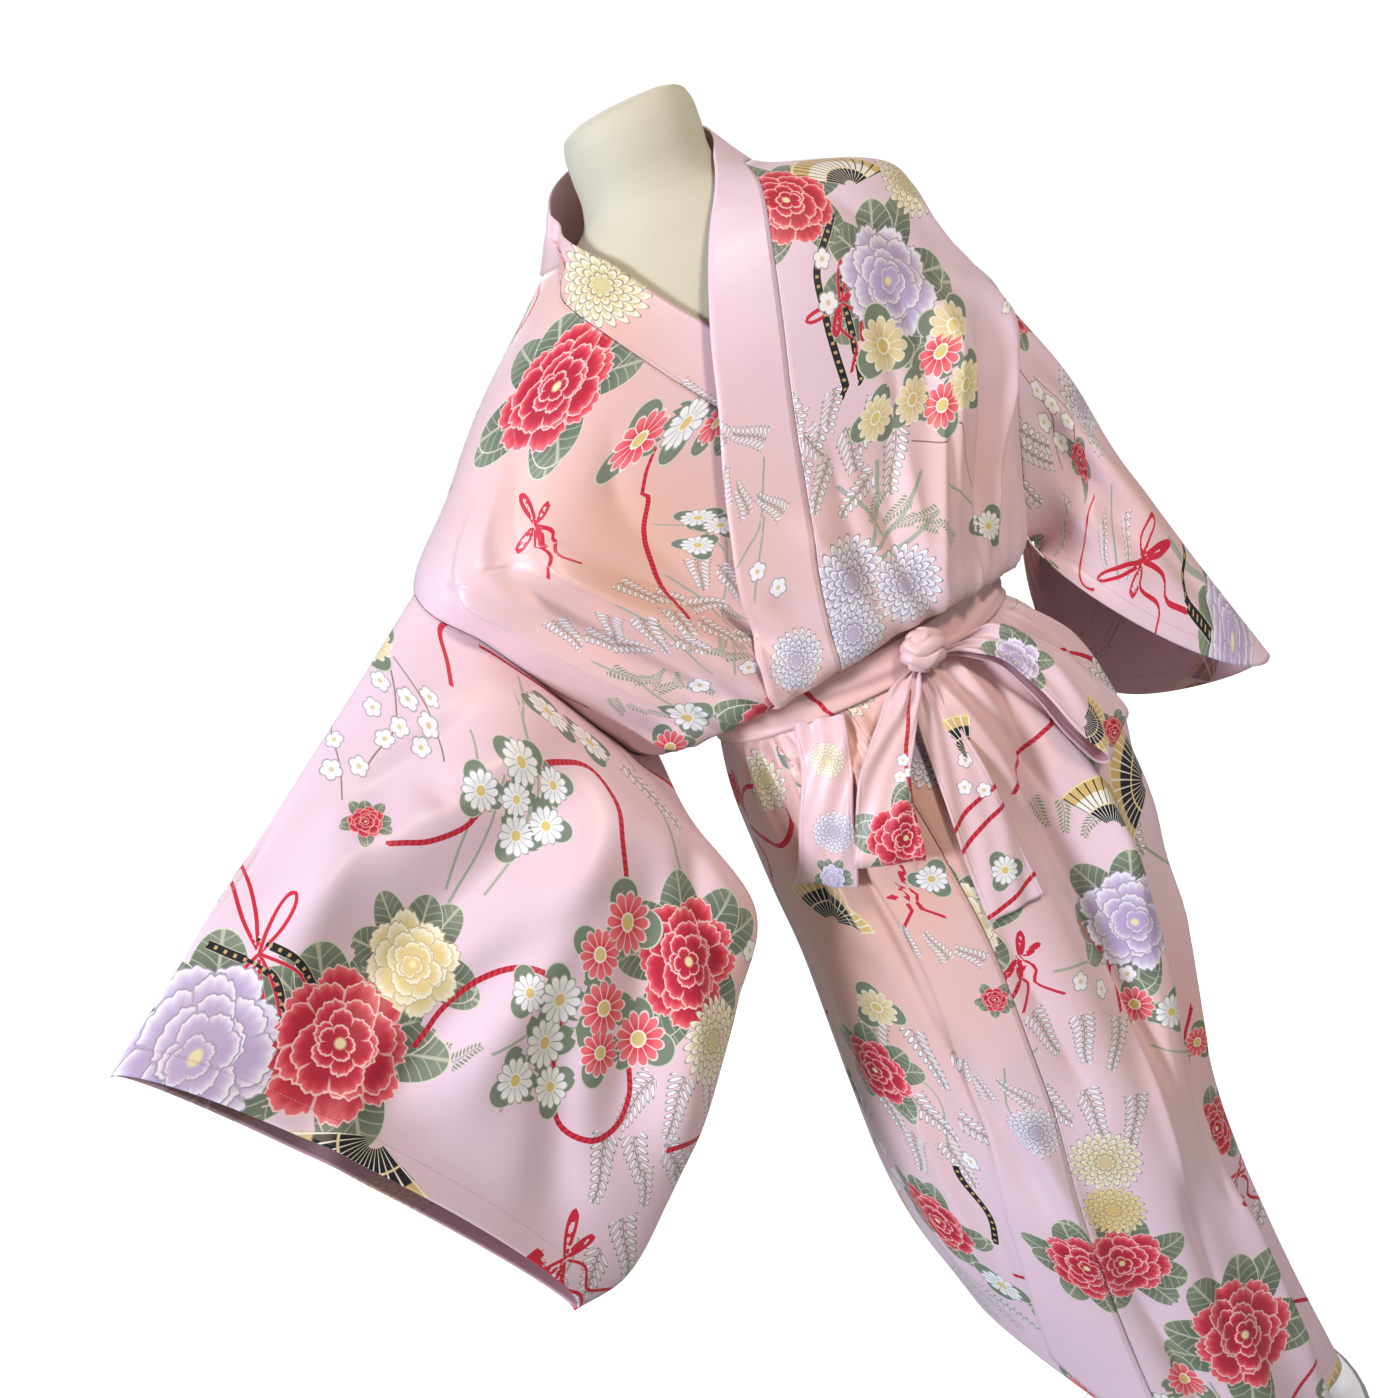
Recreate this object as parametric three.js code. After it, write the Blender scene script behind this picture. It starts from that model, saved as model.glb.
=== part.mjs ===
// A kimono robe of printed satin, tied with its own belt and worn by a limbless dress form.
// Millimetres, +Z up, the front faces -Y and the wearer's left is +X.
// The origin is the middle of the stand's foot, on the floor.
import * as THREE from "three";

// Driving dimensions of the cloth.
const clothWall = 1.5;
const bandWall = 2;
const beltWall = 3;
const seamGap = 0.3;
const armholeGap = { left: 1.4, right: 2.5 }; // between the body's edge and the sleeve's first ring
const overLift = 4.2; // how far the over front's free edge stands off the under front
const underDepth = 11; // how much deeper the under front lies where the over front covers it
const sideSeamRoundness = 2.2; // superellipse power of the body's sections
const hemHeight = 78;
const hemRaise = 235; // the hem is drawn up at the wearer's right side by the held sleeve
const hemRaiseSpread = 74; // degrees to each side
const armhole = { top: 1228, bottom: 1036, halfDepthRight: 52, halfDepthLeft: 58 };
const blouse = { top: 1130, fullest: 1036, bottom: 1020, droopSide: 32, droopFront: 8 };
const neckSeam = { leftSide: 1428, back: 1436, rightSide: 1418 };
const belt = { middle: 997, halfHeight: 17, clearance: 1.5 };
const knot = { x: 16, z: 999, halfWidth: 23, halfDepth: 15, halfHeight: 20, seat: 3.6 };

// Driving dimensions of the form and its stand.
const footRadius = 170;
const footHeight = 14;
const poleRadius = 14;
const formBottom = 745;
const neckLean = { x: 6, y: -8 };

// Sections of the robe's body by height: reach to the wearer's right (-X), to the left (+X),
// to the front and to the back. Between the armhole's ends the reach is that of the armhole's edge.
const bodySections = [
  { z: 1460, right: 76, left: 66, front: 56, back: 58 },
  { z: 1440, right: 92, left: 80, front: 66, back: 66 },
  { z: 1428, right: 104, left: 94, front: 73, back: 72 },
  { z: 1418, right: 114, left: 112, front: 78, back: 77 },
  { z: 1411, right: 123, left: 133, front: 82, back: 80 },
  { z: 1393, right: 146, left: 182, front: 90, back: 86 },
  { z: 1376, right: 170, left: 211, front: 98, back: 92 },
  { z: 1350, right: 206, left: 224, front: 106, back: 98 },
  { z: 1321, right: 240, left: 229, front: 112, back: 104 },
  { z: 1290, right: 272, left: 234, front: 117, back: 108 },
  { z: 1228, right: 338, left: 262, front: 121, back: 112 },
  { z: 1170, right: 308, left: 232, front: 124, back: 114 },
  { z: 1110, right: 277, left: 207, front: 127, back: 116 },
  { z: 1066, right: 247, left: 189, front: 130, back: 120 },
  { z: 1040, right: 222, left: 173, front: 128, back: 118 },
  { z: 1028, right: 182, left: 155, front: 114, back: 108 },
  { z: 1019, right: 150, left: 148, front: 101, back: 100 },
  { z: 1008, right: 146, left: 146, front: 99, back: 98 },
  { z: 985, right: 145, left: 145, front: 98, back: 97 },
  { z: 976, right: 147, left: 149, front: 101, back: 100 },
  { z: 960, right: 151, left: 161, front: 112, back: 108 },
  { z: 925, right: 159, left: 182, front: 126, back: 119 },
  { z: 885, right: 165, left: 196, front: 137, back: 128 },
  { z: 830, right: 169, left: 202, front: 146, back: 137 },
  { z: 750, right: 171, left: 200, front: 154, back: 145 },
  { z: 675, right: 178, left: 180, front: 159, back: 150 },
  { z: 585, right: 187, left: 158, front: 163, back: 152 },
  { z: 500, right: 193, left: 139, front: 165, back: 151 },
  { z: 430, right: 190, left: 130, front: 164, back: 150 },
  { z: 350, right: 176, left: 128, front: 162, back: 149 },
  { z: 250, right: 160, left: 130, front: 160, back: 148 },
  { z: 78, right: 150, left: 142, front: 158, back: 147 },
];

// The two fronts by height: where the neckband is sewn on, and its free edge, as X.
// "rise" is how much higher the free edge lies than the seam, where the band turns to the neck.
const overFront = [
  { z: 1428, seam: 74, edge: 52, rise: 17 },
  { z: 1411, seam: 70, edge: 34, rise: 12 },
  { z: 1393, seam: 62, edge: 14, rise: 8 },
  { z: 1371, seam: 51, edge: -6, rise: 4 },
  { z: 1319, seam: 29, edge: -37, rise: 0 },
  { z: 1257, seam: 5, edge: -62, rise: 0 },
  { z: 1209, seam: -11, edge: -82, rise: 0 },
  { z: 1162, seam: -25, edge: -98, rise: 0 },
  { z: 1112, seam: -42, edge: -113, rise: 0 },
  { z: 1059, seam: -56, edge: -121, rise: 0 },
  { z: 1010, seam: -60, edge: -122, rise: 0 },
  { z: 861, seam: -52, edge: -114, rise: 0 },
  { z: 741, seam: -48, edge: -107, rise: 0 },
  { z: 633, seam: -56, edge: -116, rise: 0 },
  { z: 564, seam: -62, edge: -120, rise: 0 },
  { z: 478, seam: -76, edge: -136, rise: 0 },
  { z: 391, seam: -82, edge: -142, rise: 0 },
  { z: 78, seam: -84, edge: -144, rise: 0 },
];
const underFront = [
  { z: 1418, seam: -104, edge: -88, rise: 33 },
  { z: 1395, seam: -122, edge: -90, rise: 32 },
  { z: 1379, seam: -121, edge: -78, rise: 24 },
  { z: 1352, seam: -110, edge: -58, rise: 14 },
  { z: 1302, seam: -82, edge: -20, rise: 6 },
  { z: 1250, seam: -50, edge: 16, rise: 0 },
  { z: 1200, seam: -26, edge: 44, rise: 0 },
  { z: 1100, seam: 22, edge: 90, rise: 0 },
  { z: 1000, seam: 54, edge: 114, rise: 0 },
  { z: 830, seam: 56, edge: 116, rise: 0 },
  { z: 600, seam: 40, edge: 100, rise: 0 },
  { z: 78, seam: 40, edge: 100, rise: 0 },
];

// The neckband's free edge round the back of the neck, from the wearer's left to the right.
// "angle" is where its seam lies on the body's section.
const collarStations = [
  { angle: 20, x: 68, y: -22, z: 1460 },
  { angle: 0, x: 73, y: 2, z: 1471 },
  { angle: -32, x: 63, y: 36, z: 1481 },
  { angle: -62, x: 38, y: 58, z: 1490 },
  { angle: -90, x: 2, y: 67, z: 1494 },
  { angle: -118, x: -34, y: 61, z: 1491 },
  { angle: -148, x: -66, y: 38, z: 1480 },
  { angle: -180, x: -86, y: 2, z: 1461 },
];

// Large folds of the skirt and the bloused chest, as soft ridges (+) and troughs (-).
// Each runs from one angle and height to another, with its half width in degrees and its depth.
const folds = [
  { fromAngle: 78, fromZ: 900, toAngle: 74, toZ: 560, width: 7, depth: -15 },
  { fromAngle: 64, fromZ: 930, toAngle: 60, toZ: 90, width: 8, depth: 9 },
  { fromAngle: 50, fromZ: 860, toAngle: 47, toZ: 90, width: 7, depth: -10 },
  { fromAngle: 36, fromZ: 920, toAngle: 30, toZ: 120, width: 8, depth: 8 },
  { fromAngle: 18, fromZ: 840, toAngle: 14, toZ: 90, width: 7, depth: -9 },
  { fromAngle: 92, fromZ: 820, toAngle: 88, toZ: 90, width: 7, depth: 8 },
  { fromAngle: 108, fromZ: 640, toAngle: 104, toZ: 90, width: 7, depth: -8 },
  { fromAngle: 146, fromZ: 900, toAngle: 138, toZ: 420, width: 8, depth: -8 },
  { fromAngle: 165, fromZ: 820, toAngle: 158, toZ: 380, width: 8, depth: 7 },
  { fromAngle: 198, fromZ: 900, toAngle: 202, toZ: 330, width: 8, depth: -10 },
  { fromAngle: 220, fromZ: 930, toAngle: 223, toZ: 100, width: 8, depth: 9 },
  { fromAngle: 240, fromZ: 860, toAngle: 243, toZ: 90, width: 7, depth: -11 },
  { fromAngle: 258, fromZ: 930, toAngle: 262, toZ: 90, width: 8, depth: 8 },
  { fromAngle: 278, fromZ: 880, toAngle: 280, toZ: 90, width: 7, depth: -10 },
  { fromAngle: 298, fromZ: 930, toAngle: 300, toZ: 90, width: 8, depth: 9 },
  { fromAngle: 320, fromZ: 850, toAngle: 322, toZ: 90, width: 8, depth: -10 },
  { fromAngle: 342, fromZ: 900, toAngle: 344, toZ: 90, width: 7, depth: 7 },
  { fromAngle: 40, fromZ: 1180, toAngle: 52, toZ: 1030, width: 7, depth: -8 },
  { fromAngle: 66, fromZ: 1190, toAngle: 70, toZ: 1030, width: 6, depth: 5 },
  { fromAngle: 146, fromZ: 1220, toAngle: 140, toZ: 1030, width: 7, depth: -8 },
  { fromAngle: 224, fromZ: 1200, toAngle: 232, toZ: 1030, width: 8, depth: -7 },
  { fromAngle: 316, fromZ: 1200, toAngle: 308, toZ: 1030, width: 8, depth: -7 },
];

// Sections of the two sleeves after the armhole: the fold along the top, the underside, and how
// far the front and the back swell from the middle between these two.
const rightSleeveSections = [
  { top: [-385, -25, 1205], under: [-224, -70, 935], front: [16, -42, 8], back: [-16, 40, -8] },
  { top: [-421, -45, 1187], under: [-216, -104, 866], front: [18, -44, 9], back: [-18, 42, -9] },
  { top: [-476, -76, 1161], under: [-270, -126, 806], front: [17, -40, 8], back: [-18, 42, -9] },
  { top: [-534, -109, 1133], under: [-335, -142, 747], front: [15, -36, 7], back: [-17, 40, -8] },
  { top: [-593, -141, 1105], under: [-400, -155, 700], front: [14, -32, 6], back: [-16, 36, -8] },
  { top: [-651, -174, 1076], under: [-466, -170, 668], front: [16, -28, 4], back: [-10, 33, -8] },
  { top: [-706, -205, 1050], under: [-510, -186, 678], front: [36, -22, 4], back: [6, 32, -4] },
];
const leftSleeveSections = [
  { top: [281, -18, 1145], under: [208, -6, 1000], front: [14, -48, 0], back: [16, 74, -20] },
  { top: [296, -36, 1062], under: [204, -12, 990], front: [4, -44, -5], back: [14, 92, -50] },
  { top: [312, -54, 978], under: [198, -20, 996], front: [-8, -36, -12], back: [4, 104, -84], sag: 12 },
  { top: [328, -72, 895], under: [192, -28, 1010], front: [-18, -30, -18], back: [-8, 112, -108], sag: 20 },
  { top: [345, -90, 812], under: [186, -38, 1032], front: [-28, -26, -26], back: [-14, 116, -122], sag: 25 },
];

// Bow: the ribbons' middle lines from the knot down, as X and height, with half their width and
// how far they lie from the body. A loop turns over at its end and comes back "gap" further out.
const rightTail = [
  { x: -82, z: 979, half: 19, lift: 11, gap: 0 },
  { x: -96, z: 945, half: 18, lift: 8, gap: 0 },
  { x: -116, z: 900, half: 18, lift: 6, gap: 0 },
  { x: -138, z: 842, half: 20, lift: 6, gap: 0 },
];
const leftTail = [
  { x: 4, z: 971, half: 9, lift: 9, gap: 0 },
  { x: -3, z: 935, half: 16, lift: 5, gap: 0 },
  { x: -8, z: 880, half: 22, lift: 5, gap: 0 },
  { x: -13, z: 815, half: 25, lift: 5.5, gap: 0 },
  { x: -16, z: 762, half: 26, lift: 6, gap: 0 },
];
const rightLoop = [
  { x: 2, z: 974.5, half: 7, lift: 13, gap: 6 },
  { x: -28, z: 953, half: 13, lift: 12, gap: 10 },
  { x: -58, z: 924, half: 17, lift: 12, gap: 14 },
  { x: -74, z: 893, half: 20, lift: 12, gap: 18 },
  { x: -86, z: 858, half: 24, lift: 12, gap: 18 },
];
const leftLoop = [
  { x: 30, z: 984, half: 7, lift: 14, gap: 4 },
  { x: 78, z: 957, half: 13, lift: 12, gap: 12 },
  { x: 101, z: 921, half: 19, lift: 12, gap: 16 },
  { x: 115, z: 880, half: 24, lift: 12, gap: 19 },
  { x: 126, z: 846, half: 25, lift: 12, gap: 19 },
];

// Sections of the form by height, the same to both sides.
const formSections = [
  { z: 1513, side: 42, front: 38, back: 38 },
  { z: 1509, side: 52, front: 48, back: 47 },
  { z: 1500, side: 58, front: 53, back: 52 },
  { z: 1478, side: 60, front: 56, back: 55 },
  { z: 1452, side: 60, front: 56, back: 55 },
  { z: 1436, side: 66, front: 59, back: 58 },
  { z: 1424, side: 82, front: 64, back: 63 },
  { z: 1412, side: 106, front: 70, back: 68 },
  { z: 1396, side: 132, front: 76, back: 74 },
  { z: 1376, side: 152, front: 84, back: 80 },
  { z: 1345, side: 163, front: 92, back: 86 },
  { z: 1280, side: 166, front: 101, back: 92 },
  { z: 1200, side: 162, front: 109, back: 96 },
  { z: 1140, side: 154, front: 108, back: 96 },
  { z: 1070, side: 138, front: 92, back: 90 },
  { z: 1000, side: 127, front: 80, back: 84 },
  { z: 940, side: 135, front: 87, back: 92 },
  { z: 860, side: 152, front: 108, back: 106 },
  { z: 790, side: 158, front: 114, back: 112 },
  { z: formBottom, side: 154, front: 112, back: 110 },
];

const point = (values) => new THREE.Vector3(...values);
const radians = THREE.MathUtils.degToRad;
const sideSign = { left: 1, right: -1 };

// A column of a table at height z, on a smooth curve through its rows.
function valueAt(rows, z, column) {
  let i = 0;
  while (i < rows.length - 2 && z < rows[i + 1].z) i++;
  const slope = (a, b) => (b[column] - a[column]) / (b.z - a.z);
  const middle = slope(rows[i], rows[i + 1]);
  const start = i > 0 ? (slope(rows[i - 1], rows[i]) + middle) / 2 : middle;
  const end = i < rows.length - 2 ? (slope(rows[i + 1], rows[i + 2]) + middle) / 2 : middle;
  const span = rows[i + 1].z - rows[i].z;
  const t = (z - rows[i].z) / span;
  if (t < 0) return rows[i][column] + start * (z - rows[i].z);
  if (t > 1) return rows[i + 1][column] + end * (z - rows[i + 1].z);
  const t2 = t * t;
  const t3 = t2 * t;
  return (
    (2 * t3 - 3 * t2 + 1) * rows[i][column] +
    (t3 - 2 * t2 + t) * span * start +
    (3 * t2 - 2 * t3) * rows[i + 1][column] +
    (t3 - t2) * span * end
  );
}

// Half the armhole's depth at height z, an ellipse between its two ends.
function armholeDepth(z, halfDepth) {
  const t = (z - armhole.bottom) / (armhole.top - armhole.bottom);
  return t > 0 && t < 1 ? 2 * halfDepth * Math.sqrt(t * (1 - t)) : 0;
}

// The body's section at height z. Each reach is stretched so that the curve still passes
// through the armhole's edge, which lies before or behind the section's end.
function sectionAt(z) {
  const front = valueAt(bodySections, z, "front");
  const back = valueAt(bodySections, z, "back");
  const n = sideSeamRoundness;
  const reach = (column, halfDepth, depth) => {
    const hole = Math.min(armholeDepth(z, halfDepth) / depth, 0.9);
    return valueAt(bodySections, z, column) / (1 - hole ** n) ** (1 / n);
  };
  return {
    front,
    back,
    rightFront: reach("right", armhole.halfDepthRight, front),
    rightBack: reach("right", armhole.halfDepthRight, back),
    leftFront: reach("left", armhole.halfDepthLeft, front),
    leftBack: reach("left", armhole.halfDepthLeft, back),
  };
}

// How far the folds move the cloth out at an angle in degrees and a height.
function foldOffset(degrees, z) {
  let sum = 0;
  for (const fold of folds) {
    const along = (fold.fromZ - z) / (fold.fromZ - fold.toZ);
    const fade = THREE.MathUtils.smoothstep(along, -0.05, 0.3);
    const end = 1 - THREE.MathUtils.smoothstep(along, 0.85, 1.15);
    const middle = THREE.MathUtils.lerp(fold.fromAngle, fold.toAngle, along);
    const apart = ((degrees - middle + 540) % 360) - 180;
    sum += fold.depth * fade * (fold.toZ < 200 ? 1 : end) * Math.exp(-((apart / fold.width) ** 2));
  }
  return sum;
}

// The bloused cloth over the belt hangs below its own height, more at the sides.
function droop(z, degrees) {
  const above = 1 - THREE.MathUtils.smoothstep(z, blouse.fullest, blouse.top);
  const below = THREE.MathUtils.smoothstep(z, blouse.bottom, blouse.fullest);
  const side = Math.abs(Math.cos(radians(degrees)));
  return THREE.MathUtils.lerp(blouse.droopFront, blouse.droopSide, side) * above * below;
}

// A point of the body at height z. Angle 0 is the wearer's left, 90 the front, 180 the right.
function bodyPoint(z, degrees) {
  const s = sectionAt(z);
  const angle = radians(degrees);
  const power = 2 / sideSeamRoundness;
  const cos = Math.cos(angle);
  const sin = Math.sin(angle);
  const isFront = sin >= 0;
  const side = cos >= 0 ? (isFront ? s.leftFront : s.leftBack) : isFront ? s.rightFront : s.rightBack;
  const out = foldOffset(degrees, z);
  const across = Math.sign(cos) * Math.abs(cos) ** power;
  const depth = Math.sign(sin) * Math.abs(sin) ** power;
  const y = -depth * ((isFront ? s.front : s.back) + out);
  return new THREE.Vector3(across * (side + out), y, z - droop(z, degrees));
}

// The direction out of the body's surface.
function bodyNormal(z, degrees) {
  const stepAngle = 0.6;
  const stepHeight = 2;
  const along = bodyPoint(z, degrees + stepAngle).sub(bodyPoint(z, degrees - stepAngle));
  const up = bodyPoint(z + stepHeight, degrees).sub(bodyPoint(z - stepHeight, degrees));
  return up.cross(along).normalize();
}

// The angle at which the front of the body's section has the given X.
function angleAtX(z, x) {
  const s = sectionAt(z);
  const reach = x >= 0 ? s.leftFront : s.rightFront;
  const ratio = Math.min(Math.abs(x) / reach, 1);
  const angle = THREE.MathUtils.radToDeg(Math.acos(ratio ** (sideSeamRoundness / 2)));
  return x >= 0 ? angle : 180 - angle;
}

// The angle between the side line and the armhole's edge.
function armholeAngle(z, side, isFront) {
  const s = sectionAt(z);
  const halfDepth = side === "left" ? armhole.halfDepthLeft : armhole.halfDepthRight;
  const ratio = armholeDepth(z, halfDepth) / (isFront ? s.front : s.back);
  return THREE.MathUtils.radToDeg(Math.asin(Math.min(ratio, 1) ** (sideSeamRoundness / 2)));
}

// The over front's extra distance from the body: none at its side seam, all of it at its edge.
const overLiftAt = (degrees) => overLift * THREE.MathUtils.smoothstep(degrees, 62, 96);

// The under front lies deeper where the over front covers it.
function underLiftAt(degrees) {
  return -underDepth * (1 - THREE.MathUtils.smoothstep(degrees, 96, 128));
}

// The hem's height, drawn up at the wearer's right side.
function hemAt(degrees) {
  const apart = Math.abs(((degrees - 180 + 540) % 360) - 180) / hemRaiseSpread;
  return hemHeight + hemRaise * Math.exp(-(apart ** 2) * 1.6);
}

// The height of the neck seam on the back and the shoulders.
function neckSeamAt(degrees) {
  const turn = Math.cos(radians(degrees));
  const end = turn > 0 ? neckSeam.leftSide : neckSeam.rightSide;
  return THREE.MathUtils.lerp(neckSeam.back, end, Math.abs(turn) ** 1.5);
}

// Heights of the rows of a body piece as shares of the way from the neck to the hem.
const rowHeights = [
  1428, 1418, 1406, 1392, 1374, 1350, 1318, 1276, 1228, 1176, 1125, 1080, 1052, 1036, 1027,
  1019, 1001, 979, 962, 935, 895, 840, 770, 690, 600, 510, 420, 320, 200, 78,
];

// Rows keep their heights above the hip; below it they close up where the hem is drawn up.
function rowHeight(nominal, top, hem) {
  const free = 979;
  if (nominal > free) return Math.min(nominal, top);
  return free - ((free - nominal) * (free - hem)) / (free - hemHeight);
}

// A closed wall between two grids of points. A ring's last column joins its first.
function wall(outer, inner, isRing = false) {
  const rows = outer.length;
  const columns = outer[0].length;
  const positions = [];
  const faces = [];
  const add = (grid) => grid.forEach((row) => row.forEach((p) => positions.push(p.x, p.y, p.z)));
  add(outer);
  add(inner);
  const shift = rows * columns;
  const id = (i, j) => i * columns + (j % columns);
  const quad = (a, b, c, d) => faces.push(a, b, c, a, c, d);
  const last = isRing ? columns : columns - 1;
  for (let i = 0; i < rows - 1; i++) {
    for (let j = 0; j < last; j++) {
      quad(id(i, j), id(i + 1, j), id(i + 1, j + 1), id(i, j + 1));
      quad(shift + id(i, j), shift + id(i, j + 1), shift + id(i + 1, j + 1), shift + id(i + 1, j));
    }
  }
  for (let j = 0; j < last; j++) {
    quad(id(0, j), id(0, j + 1), shift + id(0, j + 1), shift + id(0, j));
    const end = rows - 1;
    quad(id(end, j + 1), id(end, j), shift + id(end, j), shift + id(end, j + 1));
  }
  for (let i = 0; i < rows - 1 && !isRing; i++) {
    quad(id(i + 1, 0), id(i, 0), shift + id(i, 0), shift + id(i + 1, 0));
    const edge = columns - 1;
    quad(id(i, edge), id(i + 1, edge), shift + id(i + 1, edge), shift + id(i, edge));
  }
  const geometry = new THREE.BufferGeometry();
  geometry.setAttribute("position", new THREE.Float32BufferAttribute(positions, 3));
  geometry.setIndex(faces);
  return outward(geometry);
}

// Turns every face of a closed geometry round where its volume is negative.
function outward(geometry) {
  const p = geometry.getAttribute("position");
  const index = geometry.index.array;
  const [a, b, c] = [new THREE.Vector3(), new THREE.Vector3(), new THREE.Vector3()];
  let volume = 0;
  for (let i = 0; i < index.length; i += 3) {
    a.fromBufferAttribute(p, index[i]);
    b.fromBufferAttribute(p, index[i + 1]);
    c.fromBufferAttribute(p, index[i + 2]);
    volume += a.dot(b.cross(c));
  }
  if (volume < 0) {
    for (let i = 0; i < index.length; i += 3) {
      [index[i + 1], index[i + 2]] = [index[i + 2], index[i + 1]];
    }
  }
  geometry.computeVertexNormals();
  return geometry;
}

// The normal of a grid at one of its points, from its neighbours.
function gridNormal(grid, i, j, isRing) {
  const rows = grid.length;
  const columns = grid[0].length;
  const wrap = (k) => (isRing ? (k + columns) % columns : Math.min(Math.max(k, 0), columns - 1));
  const down = grid[Math.min(i + 1, rows - 1)][j].clone().sub(grid[Math.max(i - 1, 0)][j]);
  const across = grid[i][wrap(j + 1)].clone().sub(grid[i][wrap(j - 1)]);
  return down.cross(across).normalize();
}

// The same grid, moved along its normals.
function shifted(grid, distance, isRing = false) {
  return grid.map((row, i) =>
    row.map((p, j) => p.clone().addScaledVector(gridNormal(grid, i, j, isRing), distance)),
  );
}

// A point at a distance out of the body's surface, moved apart from its neighbour at the seam.
function layerPoint(z, degrees, lift, seamShift = 0) {
  const p = bodyPoint(z, degrees).addScaledVector(bodyNormal(z, degrees), lift);
  p.y += seamShift;
  return p;
}

// A body piece, whose columns run between two angles that change with height.
function bodyPiece({ columns, top, startAngle, endAngle, liftAt, seamShift }) {
  const grid = (depth) =>
    rowHeights.filter((z) => z <= top + 1).map((nominal) =>
      Array.from({ length: columns + 1 }, (_, j) => {
        const share = j / columns;
        const guess = THREE.MathUtils.lerp(startAngle(nominal), endAngle(nominal), share);
        const z = rowHeight(nominal, neckSeamLimit(guess, top), hemAt(guess));
        const degrees = THREE.MathUtils.lerp(startAngle(z), endAngle(z), share);
        return layerPoint(z, degrees, liftAt(degrees) - depth, seamShift);
      }),
    );
  return wall(grid(0), grid(clothWall));
}

// On the back and shoulders the first rows stop at the neck seam.
const neckSeamLimit = (degrees, top) => (Math.sin(radians(degrees)) < 0 ? neckSeamAt(degrees) : top);

function robeBack() {
  return bodyPiece({
    columns: 24,
    top: neckSeam.back,
    startAngle: (z) => -armholeAngle(z, "left", false),
    endAngle: (z) => -180 + armholeAngle(z, "right", false),
    liftAt: () => 0,
    seamShift: seamGap / 2,
  });
}

function robeFrontLeft() {
  return bodyPiece({
    columns: 18,
    top: neckSeam.leftSide,
    startAngle: (z) => armholeAngle(z, "left", true),
    endAngle: (z) => angleAtX(z, valueAt(overFront, z, "seam")),
    liftAt: overLiftAt,
    seamShift: -seamGap / 2,
  });
}

function robeFrontRight() {
  return bodyPiece({
    columns: 14,
    top: neckSeam.rightSide,
    startAngle: (z) => 180 - armholeAngle(z, "right", true),
    endAngle: (z) => angleAtX(z, valueAt(underFront, z, "seam")),
    liftAt: underLiftAt,
    seamShift: -seamGap / 2,
  });
}

// The band's points across its width on one of the fronts, at a row's nominal height.
function bandRow(table, nominal, liftAt, columns, depth) {
  const xAt = (z, share) => {
    const [seam, edge] = [valueAt(table, z, "seam"), valueAt(table, z, "edge")];
    return THREE.MathUtils.lerp(seam + Math.sign(edge - seam) * 2 * seamGap, edge, share);
  };
  return Array.from({ length: columns + 1 }, (_, j) => {
    const share = j / columns;
    const z = rowHeight(nominal, nominal, hemAt(angleAtX(nominal, xAt(nominal, share))));
    const height = z + valueAt(table, z, "rise") * share;
    const degrees = angleAtX(height, xAt(z, share));
    return layerPoint(height, degrees, liftAt(degrees) - depth, -seamGap / 2);
  });
}

// One strip from the over front's hem, up and round the neck, down to the under front's hem.
function neckband() {
  const columns = 4;
  const frontRows = (table, top, liftAt, depth) => {
    const rows = rowHeights.filter((z) => z <= top);
    return rows.map((z) => bandRow(table, z, liftAt, columns, depth));
  };
  const collarRow = ({ angle, x, y, z }) => {
    const isFront = angle > 0;
    const height = isFront ? neckSeam.leftSide : neckSeamAt(angle);
    const seam = layerPoint(height, angle, 0, isFront ? -seamGap / 2 : seamGap / 2);
    seam.z += 2 * seamGap;
    const edge = new THREE.Vector3(x, y, z);
    return Array.from({ length: columns + 1 }, (_, j) => seam.clone().lerp(edge, j / columns));
  };
  const grid = (depth, collar) => [
    ...frontRows(overFront, neckSeam.leftSide, overLiftAt, depth).reverse(),
    ...collar,
    ...frontRows(underFront, neckSeam.rightSide, underLiftAt, depth),
  ];
  const collar = collarStations.map(collarRow);
  const outer = grid(0, collar);
  const first = outer.indexOf(collar[0]);
  const inset = shifted(outer, -bandWall).slice(first, first + collar.length);
  return wall(outer, grid(bandWall, inset));
}

// One section of a sleeve at an angle round it: 0 the top fold, 90 the front, 180 the underside.
// A hanging back sags towards the body by the section's own "sag".
function sleeveSection(section, degrees) {
  const angle = radians(degrees);
  const top = point(section.top);
  const middle = top.clone().lerp(point(section.under), 0.5);
  const swell = point(Math.sin(angle) >= 0 ? section.front : section.back);
  const sag = Math.sin(angle) < 0 ? Math.sin(2 * angle) * (section.sag ?? 0) : 0;
  return middle
    .clone()
    .addScaledVector(top.sub(middle), Math.cos(angle))
    .addScaledVector(swell, Math.abs(Math.sin(angle)))
    .add(new THREE.Vector3(0, 0, -sag));
}

// The armhole's edge at the same angle, a little outside the body's own edge.
function armholePoint(side, degrees) {
  const angle = radians(degrees);
  const halfDepth = side === "left" ? armhole.halfDepthLeft : armhole.halfDepthRight;
  const share = (1 + Math.cos(angle)) / 2;
  const z = THREE.MathUtils.lerp(armhole.bottom, armhole.top, share);
  const x = valueAt(bodySections, z, side) + armholeGap[side];
  const lower = droop(z, side === "left" ? 0 : 180);
  return new THREE.Vector3(sideSign[side] * x, -halfDepth * Math.sin(angle), z - lower);
}

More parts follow.
